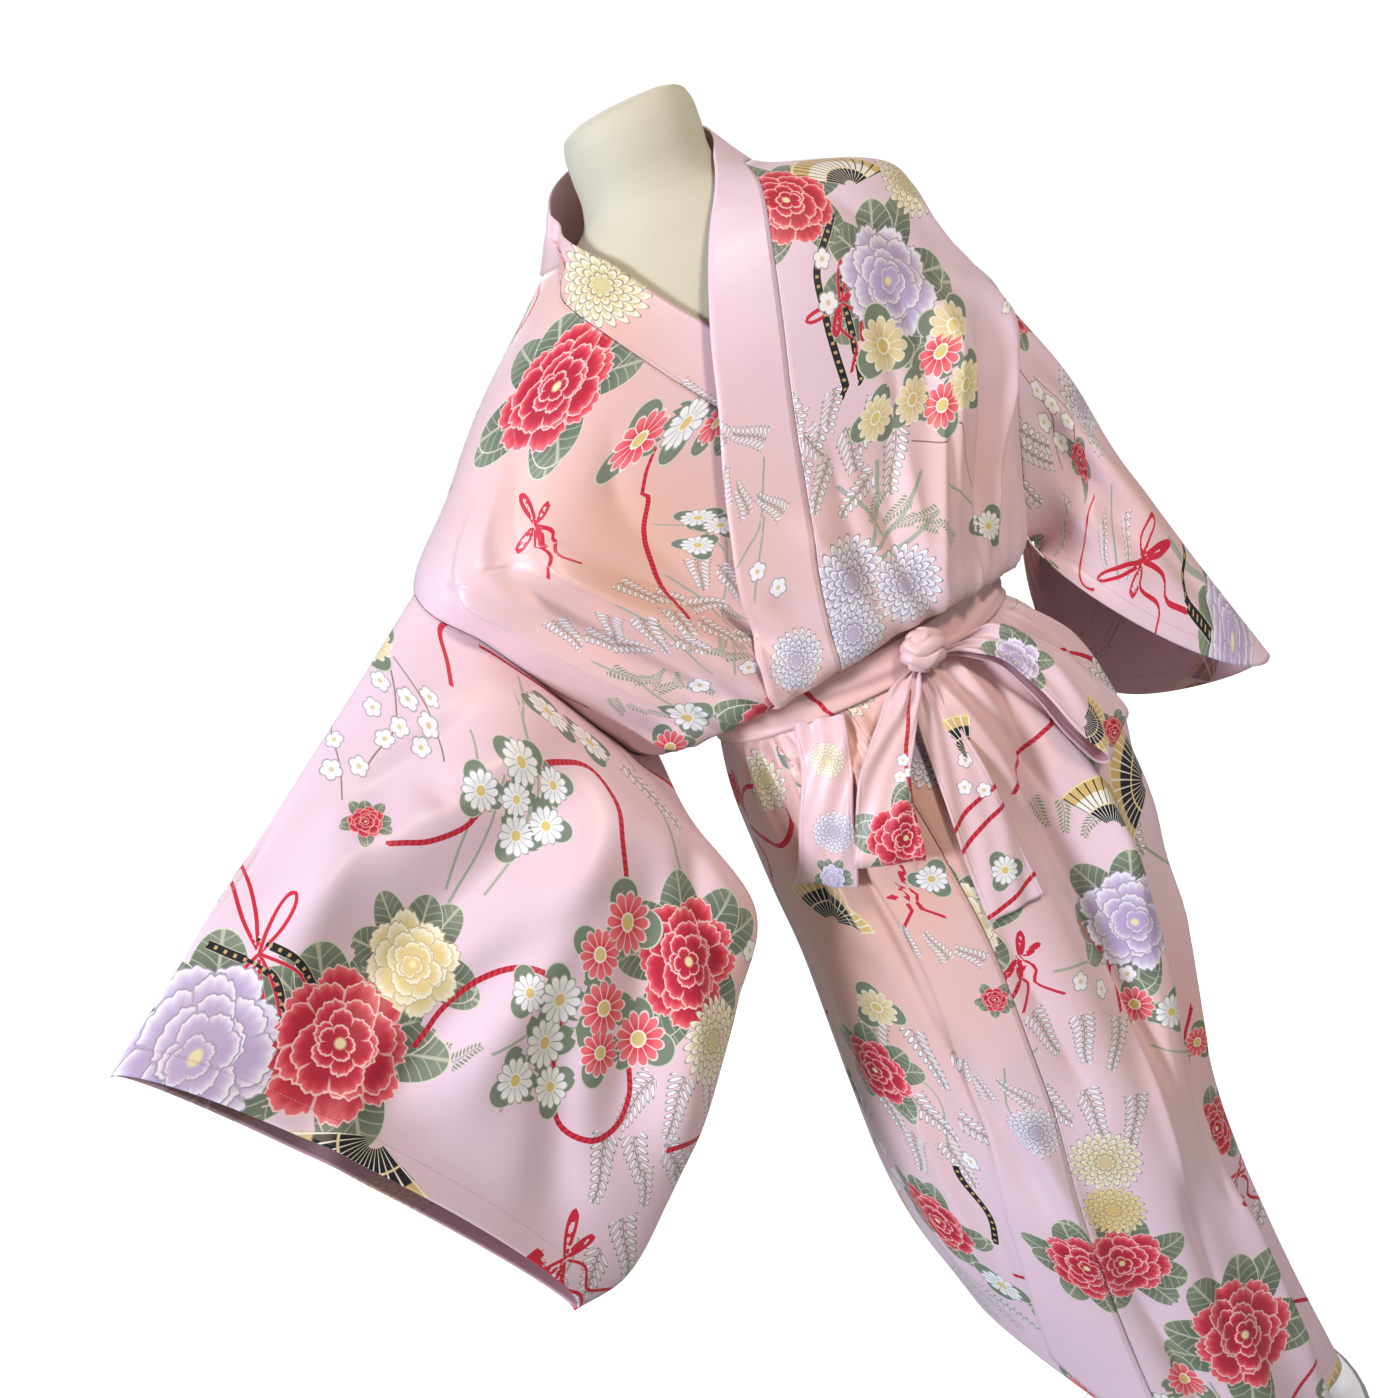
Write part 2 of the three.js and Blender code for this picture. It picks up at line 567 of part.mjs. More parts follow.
// A sleeve is a ring-shaped wall through its sections, open at the armhole and at the cuff.
function sleeve(side, sections) {
  const around = 28;
  const steps = 2;
  const curveAt = (degrees) =>
    new THREE.CatmullRomCurve3(
      [armholePoint(side, degrees), ...sections.map((s) => sleeveSection(s, degrees))],
      false,
      "centripetal",
    );
  const curves = Array.from({ length: around }, (_, j) => curveAt((360 * j) / around));
  const count = sections.length * steps;
  const grid = Array.from({ length: count + 1 }, (_, i) => curves.map((c) => c.getPoint(i / count)));
  const inner = shifted(grid, side === "left" ? -clothWall : clothWall, true);
  return wall(grid, inner, true);
}

// The belt goes once round the waist, over both fronts.
function beltLift(degrees) {
  const onOver = overLiftAt(degrees < 90 ? degrees : 90);
  const pastEdge = THREE.MathUtils.smoothstep(degrees, 150, 168);
  return degrees < 180 ? onOver * (1 - pastEdge) : 0;
}

function beltWrap() {
  const around = 44;
  const lines = 4;
  const grid = (depth) =>
    Array.from({ length: lines + 1 }, (_, i) => {
      const share = i / lines;
      const z = belt.middle + belt.halfHeight * (1 - 2 * share);
      const roll = 1.6 * Math.sin(Math.PI * share);
      return Array.from({ length: around }, (_, j) => {
        const degrees = (360 * j) / around;
        const lift = beltLift(degrees) + belt.clearance + seamGap;
        return beltPoint(z, degrees, lift + (beltWall + roll) * (1 - depth));
      });
    });
  return wall(grid(0), grid(1), true);
}

// The belt stays upright, so its points take the waist's section at its middle height.
function beltPoint(z, degrees, lift) {
  const waist = bodyPoint(belt.middle, degrees);
  const out = bodyNormal(belt.middle, degrees).setZ(0).normalize();
  const flare = Math.abs(z - belt.middle) / belt.halfHeight;
  return waist.addScaledVector(out, lift + 3.2 * flare ** 2).setZ(z);
}

function beltKnot() {
  const geometry = new THREE.SphereGeometry(1, 16, 10);
  geometry.scale(knot.halfWidth, knot.halfDepth, knot.halfHeight);
  const degrees = angleAtX(belt.middle, knot.x);
  const clear = beltLift(degrees) + beltWall + knot.halfDepth + knot.seat;
  const centre = beltPoint(belt.middle, degrees, clear);
  geometry.translate(knot.x, centre.y, knot.z);
  return geometry;
}

// The middle line of a ribbon: X and height, and half its width in place of a third coordinate.
const ribbonLine = (table) =>
  new THREE.CatmullRomCurve3(table.map(({ x, z, half }) => new THREE.Vector3(x, z, half)));

// A row of points across a ribbon, "beyond" further along it and at a distance from the body.
function ribbonRow(line, t, lift, beyond = 0) {
  const middle = line.getPoint(t);
  const along = line.getTangent(t).setZ(0).normalize();
  const half = middle.z;
  return [-1, -0.5, 0, 0.5, 1].map((share) => {
    const x = middle.x + along.x * beyond - along.y * share * half;
    const z = middle.y + along.y * beyond + along.x * share * half;
    return layerPoint(z, angleAtX(z, x), lift);
  });
}

// A column of a ribbon's table at a share of the way along it.
function ribbonValue(table, t, column) {
  const at = t * (table.length - 1);
  const i = Math.min(Math.floor(at), table.length - 2);
  return THREE.MathUtils.lerp(table[i][column], table[i + 1][column], at - i);
}

// A tail lies down the skirt at its own distance from the body.
function beltTail(table) {
  const steps = 8;
  const line = ribbonLine(table);
  const grid = Array.from({ length: steps + 1 }, (_, i) =>
    ribbonRow(line, i / steps, ribbonValue(table, i / steps, "lift")),
  );
  return wall(grid, shifted(grid, clothWall));
}

// A loop of the bow goes down from the knot, turns over and comes back in front of itself.
function beltLoop(table) {
  const runSteps = 8;
  const turnSteps = 5;
  const line = ribbonLine(table);
  const row = (t, isFront) =>
    ribbonRow(line, t, ribbonValue(table, t, "lift") + (isFront ? ribbonValue(table, t, "gap") : 0));
  const end = table[table.length - 1];
  const grid = [];
  for (let i = 0; i <= runSteps; i++) grid.push(row(i / runSteps, false));
  for (let i = 1; i < turnSteps; i++) {
    const angle = (Math.PI * i) / turnSteps;
    const out = (end.gap / 2) * (1 - Math.cos(angle));
    grid.push(ribbonRow(line, 1, end.lift + out, (end.gap / 2) * Math.sin(angle)));
  }
  for (let i = runSteps; i >= 0; i--) grid.push(row(i / runSteps, true));
  return wall(grid, shifted(grid, clothWall));
}

// The form is a stack of closed sections with a rounded neck end and a flat bottom.
function formTorso() {
  const around = 28;
  const top = formSections[0].z;
  const positions = [];
  const faces = [];
  const power = 2 / sideSeamRoundness;
  const heights = formSections.flatMap((s, i) => {
    const next = formSections[i + 1];
    return next && s.z - next.z > 40 ? [s.z, (s.z + next.z) / 2] : [s.z];
  });
  heights.forEach((z) => {
    const [side, front, back] = ["side", "front", "back"].map((c) => valueAt(formSections, z, c));
    const lean = THREE.MathUtils.smoothstep(z, 1400, top);
    for (let j = 0; j < around; j++) {
      const angle = (2 * Math.PI * j) / around;
      const across = Math.sign(Math.cos(angle)) * Math.abs(Math.cos(angle)) ** power;
      const depth = Math.sign(Math.sin(angle)) * Math.abs(Math.sin(angle)) ** power;
      const reach = depth > 0 ? front : back;
      positions.push(across * side + lean * neckLean.x, -depth * reach + lean * neckLean.y, z);
    }
  });
  const bottomCentre = positions.length / 3;
  positions.push(0, 0, formBottom);
  const topCentre = bottomCentre + 1;
  positions.push(neckLean.x, neckLean.y, top);
  for (let i = 0; i < heights.length - 1; i++) {
    for (let j = 0; j < around; j++) {
      const [a, b] = [i * around + j, i * around + ((j + 1) % around)];
      faces.push(a, b, b + around, a, b + around, a + around);
    }
  }
  const lastRow = (heights.length - 1) * around;
  for (let j = 0; j < around; j++) {
    const next = (j + 1) % around;
    faces.push(topCentre, next, j, bottomCentre, lastRow + j, lastRow + next);
  }
  const geometry = new THREE.BufferGeometry();
  geometry.setAttribute("position", new THREE.Float32BufferAttribute(positions, 3));
  geometry.setIndex(faces);
  return outward(geometry);
}

function upright(geometry, z) {
  geometry.rotateX(Math.PI / 2);
  geometry.translate(0, 0, z);
  return geometry;
}

function formFoot() {
  const edge = 4;
  const profile = [
    [0, 0],
    [footRadius - edge, 0],
    [footRadius, edge],
    [footRadius, footHeight - edge],
    [footRadius - edge, footHeight],
    [0, footHeight],
  ].map(([x, y]) => new THREE.Vector2(x, y));
  return upright(new THREE.LatheGeometry(profile, 48), 0);
}

function formPole() {
  const length = formBottom - footHeight - 2 * seamGap;
  const pole = new THREE.CylinderGeometry(poleRadius, poleRadius, length, 24);
  return upright(pole, footHeight + seamGap + length / 2);
}

const satin = { color: 0xe2b3ac, roughness: 0.42, metalness: 0 };
const jersey = { color: 0xe9e2cc, roughness: 0.9, metalness: 0 };
const steel = { color: 0xb9babd, roughness: 0.35, metalness: 1 };

const root = new THREE.Group();
function add(name, geometry, finish) {
  const mesh = new THREE.Mesh(geometry, new THREE.MeshStandardMaterial(finish));
  mesh.name = name;
  root.add(mesh);
}

add("robe_back", robeBack(), satin);
add("robe_front_left", robeFrontLeft(), satin);
add("robe_front_right", robeFrontRight(), satin);
add("neckband", neckband(), satin);
add("sleeve_left", sleeve("left", leftSleeveSections), satin);
add("sleeve_right", sleeve("right", rightSleeveSections), satin);
add("belt_wrap", beltWrap(), satin);
add("belt_knot", beltKnot(), satin);
add("belt_loop_left", beltLoop(leftLoop), satin);
add("belt_loop_right", beltLoop(rightLoop), satin);
add("belt_tail_left", beltTail(leftTail), satin);
add("belt_tail_right", beltTail(rightTail), satin);
add("form_torso", formTorso(), jersey);
add("form_pole", formPole(), steel);
add("form_foot", formFoot(), steel);

export default root;
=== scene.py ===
import math
import bpy
import numpy as np
from mathutils import Matrix, Vector


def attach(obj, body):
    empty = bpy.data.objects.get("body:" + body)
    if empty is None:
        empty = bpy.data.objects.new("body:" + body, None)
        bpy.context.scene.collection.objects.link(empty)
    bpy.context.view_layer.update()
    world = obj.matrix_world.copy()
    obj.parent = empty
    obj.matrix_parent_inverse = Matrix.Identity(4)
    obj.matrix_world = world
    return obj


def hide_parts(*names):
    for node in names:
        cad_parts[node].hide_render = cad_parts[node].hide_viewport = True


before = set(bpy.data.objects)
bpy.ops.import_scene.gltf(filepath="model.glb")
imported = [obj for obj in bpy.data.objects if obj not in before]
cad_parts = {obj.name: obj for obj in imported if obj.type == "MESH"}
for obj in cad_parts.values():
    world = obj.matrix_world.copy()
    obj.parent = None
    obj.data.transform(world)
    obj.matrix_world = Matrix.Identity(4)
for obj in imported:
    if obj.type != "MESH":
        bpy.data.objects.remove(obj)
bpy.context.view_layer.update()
print("frame loaded")

# camera, at the front right of the wearer and a little above, rolled
camera = {
    "place": (-0.4409, -1.3577, 1.3968),
    "turn": 0.2075,
    "pitch": 0.2621,
    "roll": 0.4554,
    "lens": 40.65,
}


def makeCamera(values):
    sinT, cosT = math.sin(values["turn"]), math.cos(values["turn"])
    sinP, cosP = math.sin(values["pitch"]), math.cos(values["pitch"])
    ahead = Vector((sinT * cosP, cosT * cosP, -sinP))
    side = Vector((cosT, -sinT, 0))
    down = ahead.cross(side)
    right = math.cos(values["roll"]) * side + math.sin(values["roll"]) * down
    lower = -math.sin(values["roll"]) * side + math.cos(values["roll"]) * down
    cam = bpy.data.objects.new("camera", bpy.data.cameras.new("camera"))
    bpy.context.collection.objects.link(cam)
    cam.data.lens = values["lens"]
    cam.data.sensor_width = 36
    cam.data.clip_end = 60
    turn = Matrix((right, -lower, -ahead)).transposed()
    cam.matrix_world = Matrix.Translation(values["place"]) @ turn.to_4x4()
    bpy.context.scene.camera = cam


makeCamera(camera)
print("camera made")

# ---------------------------------------------------------------- cut of the robe, millimetres
robe = {
    "hem": 78,
    "hemRaise": 235,
    "hemSpread": 74,
    "wall": 1.5,
    "bandWall": 2.0,
    "seamGap": 0.3,
    "overLift": 4.2,
    "underDepth": 11,
    "holeTop": 1228,
    "holeBottom": 1036,
    "holeRight": 52,
    "holeLeft": 58,
    "round": 2.2,
    "neckLeft": 1428,
    "neckBack": 1436,
    "neckRight": 1418,
    "waist": 979,
}

# reach of the body's sections: height, wearer's right, left, front, back
bodyRows = [
    (1460, 76, 66, 56, 58), (1440, 92, 80, 66, 66), (1428, 104, 94, 73, 72), (1418, 114, 112, 78, 77),
    (1411, 123, 133, 82, 80), (1393, 146, 182, 90, 86), (1376, 170, 211, 98, 92), (1350, 206, 224, 106, 98),
    (1321, 240, 229, 112, 104), (1290, 272, 234, 117, 108), (1228, 338, 262, 121, 112),
    (1170, 308, 232, 124, 114), (1110, 277, 207, 127, 116), (1066, 247, 189, 130, 120),
    (1040, 222, 173, 128, 118), (1028, 182, 155, 114, 108), (1019, 150, 148, 101, 100),
    (1008, 146, 146, 99, 98), (985, 145, 145, 98, 97), (976, 147, 149, 101, 100),
    (960, 151, 161, 112, 108), (925, 159, 182, 126, 119), (885, 165, 196, 137, 128),
    (830, 169, 202, 146, 137), (750, 171, 200, 154, 145), (675, 178, 180, 159, 150),
    (585, 187, 158, 163, 152), (500, 193, 139, 165, 151), (430, 190, 130, 164, 150),
    (350, 176, 128, 162, 149), (250, 160, 130, 160, 148), (78, 150, 142, 158, 147),
]
# the fronts: height, seam and free edge of the band across, rise of the edge
overRows = [
    (1428, 74, 52, 17), (1411, 70, 34, 12), (1393, 62, 14, 8), (1371, 51, -6, 4), (1319, 29, -37, 0),
    (1257, 5, -62, 0), (1209, -11, -82, 0), (1162, -25, -98, 0), (1112, -42, -113, 0), (1059, -56, -121, 0),
    (1010, -60, -122, 0), (861, -52, -114, 0), (741, -48, -107, 0), (633, -56, -116, 0), (564, -62, -120, 0),
    (478, -76, -136, 0), (391, -82, -142, 0), (78, -84, -144, 0),
]
underRows = [
    (1418, -104, -88, 33), (1395, -122, -90, 32), (1379, -121, -78, 24), (1352, -110, -58, 14),
    (1302, -82, -20, 6), (1250, -50, 16, 0), (1200, -26, 44, 0), (1100, 22, 90, 0), (1000, 54, 114, 0),
    (830, 56, 116, 0), (600, 40, 100, 0), (78, 40, 100, 0),
]
# the collar's free edge round the back of the neck: angle of its seam, place
collarRows = [
    (20, 68, -22, 1460), (0, 73, 2, 1471), (-32, 63, 36, 1481), (-62, 38, 58, 1490),
    (-90, 2, 67, 1494), (-118, -34, 61, 1491), (-148, -66, 38, 1480), (-180, -86, 2, 1461),
]
# large folds: from angle, height, to angle, height, half width, depth
foldRows = [
    (78, 900, 74, 560, 7, -15), (64, 930, 60, 90, 8, 9), (50, 860, 47, 90, 7, -10), (36, 920, 30, 120, 8, 8),
    (18, 840, 14, 90, 7, -9), (92, 820, 88, 90, 7, 8), (108, 640, 104, 90, 7, -8), (146, 900, 138, 420, 8, -8),
    (165, 820, 158, 380, 8, 7), (198, 900, 202, 330, 8, -10), (220, 930, 223, 100, 8, 9),
    (240, 860, 243, 90, 7, -11), (258, 930, 262, 90, 8, 8), (278, 880, 280, 90, 7, -10),
    (298, 930, 300, 90, 8, 9), (320, 850, 322, 90, 8, -10), (342, 900, 344, 90, 7, 7),
    (40, 1180, 52, 1030, 7, -8), (66, 1190, 70, 1030, 6, 5), (146, 1220, 140, 1030, 7, -8),
    (224, 1200, 232, 1030, 8, -7), (316, 1200, 308, 1030, 8, -7),
]
# creases: from angle, height, to angle, height, half width across and depth in millimetres
creaseRows = [
    (58, 1300, 72, 1040, 9, -3.5), (72, 1250, 80, 1045, 7, 3.0), (84, 1180, 84, 1040, 6, -2.5),
    (50, 1240, 62, 1045, 8, 3.2), (30, 1190, 50, 1050, 8, -4.0), (26, 1260, 44, 1120, 10, 3.0),
    (96, 1160, 92, 1040, 6, 2.4), (120, 1300, 112, 1060, 9, -3.0), (132, 1250, 120, 1050, 8, 3.2),
    (140, 1180, 128, 1045, 7, -3.4), (152, 1240, 138, 1070, 9, 3.4), (158, 1150, 146, 1050, 8, -3.6),
    (150, 1330, 134, 1210, 10, -2.6), (60, 1380, 40, 1250, 10, -2.6), (36, 1360, 24, 1260, 9, 2.8),
    (106, 1110, 100, 1045, 5, -2.2), (68, 970, 72, 840, 6, -4.0), (58, 975, 52, 860, 6, 3.4),
    (84, 972, 80, 800, 7, 3.6), (96, 972, 97, 850, 6, -3.4), (112, 975, 114, 820, 7, 3.0),
    (126, 972, 128, 860, 6, -3.2), (138, 975, 142, 760, 8, 3.4), (154, 970, 152, 800, 7, -3.4),
    (44, 975, 40, 830, 7, -3.6), (26, 970, 24, 800, 8, 3.6), (10, 972, 8, 850, 7, -3.0),
    (210, 975, 214, 830, 8, -3.6), (230, 975, 228, 800, 8, 3.2), (250, 975, 252, 850, 7, -3.4),
    (268, 975, 270, 790, 8, 3.4), (288, 975, 286, 840, 7, -3.2), (308, 975, 310, 820, 8, 3.4),
    (330, 975, 332, 840, 8, -3.4), (348, 975, 350, 800, 7, 3.0), (214, 1230, 222, 1050, 9, 3.0),
    (236, 1180, 240, 1045, 8, -3.4), (254, 1260, 256, 1050, 9, 2.6), (270, 1170, 268, 1045, 8, -3.0),
    (286, 1240, 284, 1050, 9, 2.8), (300, 1180, 296, 1045, 8, -3.2), (322, 1230, 314, 1050, 9, 3.0),
    (74, 700, 84, 420, 10, 4.0), (56, 640, 64, 380, 9, -4.0), (100, 760, 96, 560, 9, -3.6),
    (34, 700, 42, 460, 10, 3.6), (128, 700, 120, 480, 9, -3.4), (116, 600, 112, 380, 9, 3.2),
    (150, 640, 146, 430, 9, 3.0), (20, 560, 26, 330, 9, -3.4), (84, 460, 90, 200, 10, -3.6),
    (156, 1290, 138, 1060, 15, 5.5), (147, 1280, 126, 1055, 10, -4.8), (138, 1270, 115, 1058, 12, 5.0),
    (130, 1240, 107, 1050, 8, -3.2), (50, 1270, 72, 1060, 12, 4.4), (42, 1240, 60, 1055, 9, -3.8),
    (32, 1250, 50, 1050, 12, 4.4), (78, 900, 72, 560, 10, -4.0), (64, 880, 58, 500, 12, 3.6),
    (214, 1290, 226, 1060, 12, 4.0), (326, 1290, 312, 1060, 12, 4.0),
    (150, 1300, 128, 1050, 7, 3.8), (158, 1280, 140, 1060, 10, -3.4), (140, 1290, 116, 1060, 6, -3.2),
    (134, 1240, 112, 1050, 6, 3.0), (126, 1200, 108, 1045, 5, -3.0), (66, 1280, 84, 1090, 7, -3.2),
    (58, 1230, 78, 1050, 6, 3.4), (46, 1200, 64, 1045, 6, -3.4), (38, 1180, 56, 1045, 6, 3.0),
    (88, 1200, 92, 1050, 5, -2.8), (78, 940, 66, 760, 6, -3.6), (70, 960, 60, 800, 5, 3.0),
    (88, 970, 90, 880, 5, 3.0), (134, 965, 130, 700, 7, -3.0), (62, 820, 70, 520, 8, 3.4),
    (60, 400, 58, 150, 10, 3.4), (40, 380, 38, 140, 9, -3.2), (110, 380, 106, 150, 10, -3.0),
]


def curveOf(rows, column):
    # a smooth curve through a table's column, over the height
    z = [r[0] for r in rows]
    v = [r[column] for r in rows]
    zs, vs = [], []
    for i in range(len(rows) - 1):
        slope = lambda a, b: (v[b] - v[a]) / (z[b] - z[a])
        middle = slope(i, i + 1)
        start = (slope(i - 1, i) + middle) / 2 if i > 0 else middle
        end = (slope(i + 1, i + 2) + middle) / 2 if i < len(rows) - 2 else middle
        span = z[i + 1] - z[i]
        t = np.linspace(0, 1, 24)
        t2, t3 = t * t, t * t * t
        zs.append(z[i] + span * t)
        vs.append(
            (2 * t3 - 3 * t2 + 1) * v[i] + (t3 - 2 * t2 + t) * span * start
            + (3 * t2 - 2 * t3) * v[i + 1] + (t3 - t2) * span * end
        )
    zs, vs = np.concatenate(zs)[::-1], np.concatenate(vs)[::-1]
    return lambda at: np.interp(at, zs, vs)


body = {name: curveOf(bodyRows, k + 1) for k, name in enumerate(["right", "left", "front", "back"])}
over = {name: curveOf(overRows, k + 1) for k, name in enumerate(["seam", "edge", "rise"])}
under = {name: curveOf(underRows, k + 1) for k, name in enumerate(["seam", "edge", "rise"])}


def smooth(x, low, high):
    t = np.clip((x - low) / (high - low), 0, 1)
    return t * t * (3 - 2 * t)


def holeDepth(z, half):
    t = np.clip((z - robe["holeBottom"]) / (robe["holeTop"] - robe["holeBottom"]), 0, 1)
    return 2 * half * np.sqrt(t * (1 - t))


def sectionAt(z):
    front, back = body["front"](z), body["back"](z)
    n = robe["round"]

    def reach(column, half, depth):
        hole = np.minimum(holeDepth(z, half) / depth, 0.9)
        return body[column](z) / (1 - hole ** n) ** (1 / n)

    return (
        front, back,
        reach("right", robe["holeRight"], front), reach("right", robe["holeRight"], back),
        reach("left", robe["holeLeft"], front), reach("left", robe["holeLeft"], back),
    )


def alongFolds(rows, deg, z, inMillimetres):
    total = np.zeros(np.broadcast(deg, z).shape)
    for a0, z0, a1, z1, width, depth in rows:
        along = (z0 - z) / (z0 - z1)
        fade = smooth(along, -0.05, 0.3)
        end = 1.0 if (z1 < 200 and not inMillimetres) else 1 - smooth(along, 0.75 if inMillimetres else 0.85, 1.15)
        apart = ((deg - (a0 + (a1 - a0) * along) + 540) % 360) - 180
        if inMillimetres:
            apart = apart * 2.4
        deep = depth * (2.7 if inMillimetres else 1.0)
        power = 1.35 if inMillimetres else 2.0
        total = total + deep * fade * end * np.exp(-(np.abs(apart / width) ** power))
    return total


def gathers(deg, z):
    # small pleats where the belt gathers the cloth, above and below it
    above = smooth(z, 1012, 1030) * (1 - smooth(z, 1045, 1120))
    below = (1 - smooth(z, 968, 982)) * smooth(z, 860, 962)
    r = np.radians(deg)
    fine = np.sin(31 * r + 1.3 * np.sin(3 * r)) + 0.7 * np.sin(47 * r + 2 * np.sin(5 * r + 1))
    return 3.2 * fine * above + 3.6 * fine * below


def droop(z, deg):
    above = 1 - smooth(z, 1036, 1130)
    below = smooth(z, 1020, 1036)
    side = np.abs(np.cos(np.radians(deg)))
    return (8 + 24 * side) * above * below


def bodyPoint(z, deg, fine=True):
    z, deg = np.broadcast_arrays(np.asarray(z, float), np.asarray(deg, float))
    front, back, rf, rb, lf, lb = sectionAt(z)
    a = np.radians(deg)
    c, s = np.cos(a), np.sin(a)
    side = np.where(c >= 0, np.where(s >= 0, lf, lb), np.where(s >= 0, rf, rb))
    out = alongFolds(foldRows, deg, z, False)
    if fine:
        # none at the side seams and at the armholes' edges
        edge = np.minimum(
            np.abs(((deg + 540) % 360) - 180) - holeAngle(z, "left", True),
            np.abs(((deg + 360) % 360) - 180) - holeAngle(z, "right", True),
        )
        out = out + (alongFolds(creaseRows, deg, z, True) + gathers(deg, z)) * smooth(edge, 1, 11)
    p = 2 / robe["round"]
    x = np.sign(c) * np.abs(c) ** p * (side + out)
    y = -np.sign(s) * np.abs(s) ** p * (np.where(s >= 0, front, back) + out)
    return np.stack([x, y, z - droop(z, deg)], -1)


def bodyNormal(z, deg):
    around = bodyPoint(z, deg + 0.6, False) - bodyPoint(z, deg - 0.6, False)
    up = bodyPoint(z + 2, deg, False) - bodyPoint(z - 2, deg, False)
    n = np.cross(up, around)
    return n / np.linalg.norm(n, axis=-1, keepdims=True)


def layerPoint(z, deg, lift, shift=0.0, fine=True):
    p = bodyPoint(z, deg, fine) + bodyNormal(z, deg) * np.asarray(lift)[..., None]
    p[..., 1] += shift
    return p


def angleAtX(z, x):
    front, back, rf, rb, lf, lb = sectionAt(z)
    ratio = np.minimum(np.abs(x) / np.where(x >= 0, lf, rf), 1)
    angle = np.degrees(np.arccos(ratio ** (robe["round"] / 2)))
    return np.where(x >= 0, angle, 180 - angle)


def holeAngle(z, side, isFront):
    front, back = body["front"](z), body["back"](z)
    half = robe["holeLeft"] if side == "left" else robe["holeRight"]
    ratio = np.minimum(holeDepth(z, half) / (front if isFront else back), 1)
    return np.degrees(np.arcsin(ratio ** (robe["round"] / 2)))


overLift = lambda deg: robe["overLift"] * smooth(deg, 62, 96)
underLift = lambda deg: -robe["underDepth"] * (1 - smooth(deg, 96, 128))


def hemAt(deg):
    apart = np.abs(((deg - 180 + 540) % 360) - 180) / robe["hemSpread"]
    return robe["hem"] + robe["hemRaise"] * np.exp(-(apart ** 2) * 1.6)


def neckSeamAt(deg):
    turn = np.cos(np.radians(deg))
    end = np.where(turn > 0, robe["neckLeft"], robe["neckRight"])
    return robe["neckBack"] + (end - robe["neckBack"]) * np.abs(turn) ** 1.5


def heights(top, bottom, upper, lower):
    # rows from the neck to the waist and from there to the hem; top and bottom per column
    waist = robe["waist"]
    t = np.linspace(0, 1, upper)[:, None]
    s = np.linspace(0, 1, lower + 1)[1:, None]
    return np.vstack([top + (waist - top) * t, waist + (bottom - waist) * s])


# ---------------------------------------------------------------- meshes of cloth
def unitNormals(grid, ring):
    if ring:
        wide = np.concatenate([grid[:, -1:], grid, grid[:, :1]], 1)
        across = wide[:, 2:] - wide[:, :-2]
    else:
        across = np.gradient(grid, axis=1)
    n = np.cross(np.gradient(grid, axis=0), across)
    return n / np.maximum(np.linalg.norm(n, axis=-1, keepdims=True), 1e-9)


def clothUv(grid, column, ring, offset=(0, 0), turn=0.0, ownLength=False):
    # cloth coordinates in millimetres, measured along the piece's own rows and columns
    g = np.concatenate([grid, grid[:, :1]], 1) if ring else grid
    u = np.concatenate([np.zeros((g.shape[0], 1)), np.cumsum(np.linalg.norm(np.diff(g, axis=1), axis=-1), 1)], 1)
    u = u - u[:, column:column + 1]
    down = np.concatenate([[0], np.cumsum(np.linalg.norm(np.diff(g[:, column], axis=0), axis=-1))])
    v = np.broadcast_to(down[:, None], u.shape)
    if ownLength:
        # a piece that spreads out like a fan is measured along each column
        v = np.concatenate([np.zeros((1, g.shape[1])), np.cumsum(np.linalg.norm(np.diff(g, axis=0), axis=-1), 0)])
    c, s = math.cos(turn), math.sin(turn)
    return np.stack([u * c - v * s + offset[0], u * s + v * c + offset[1]], -1)


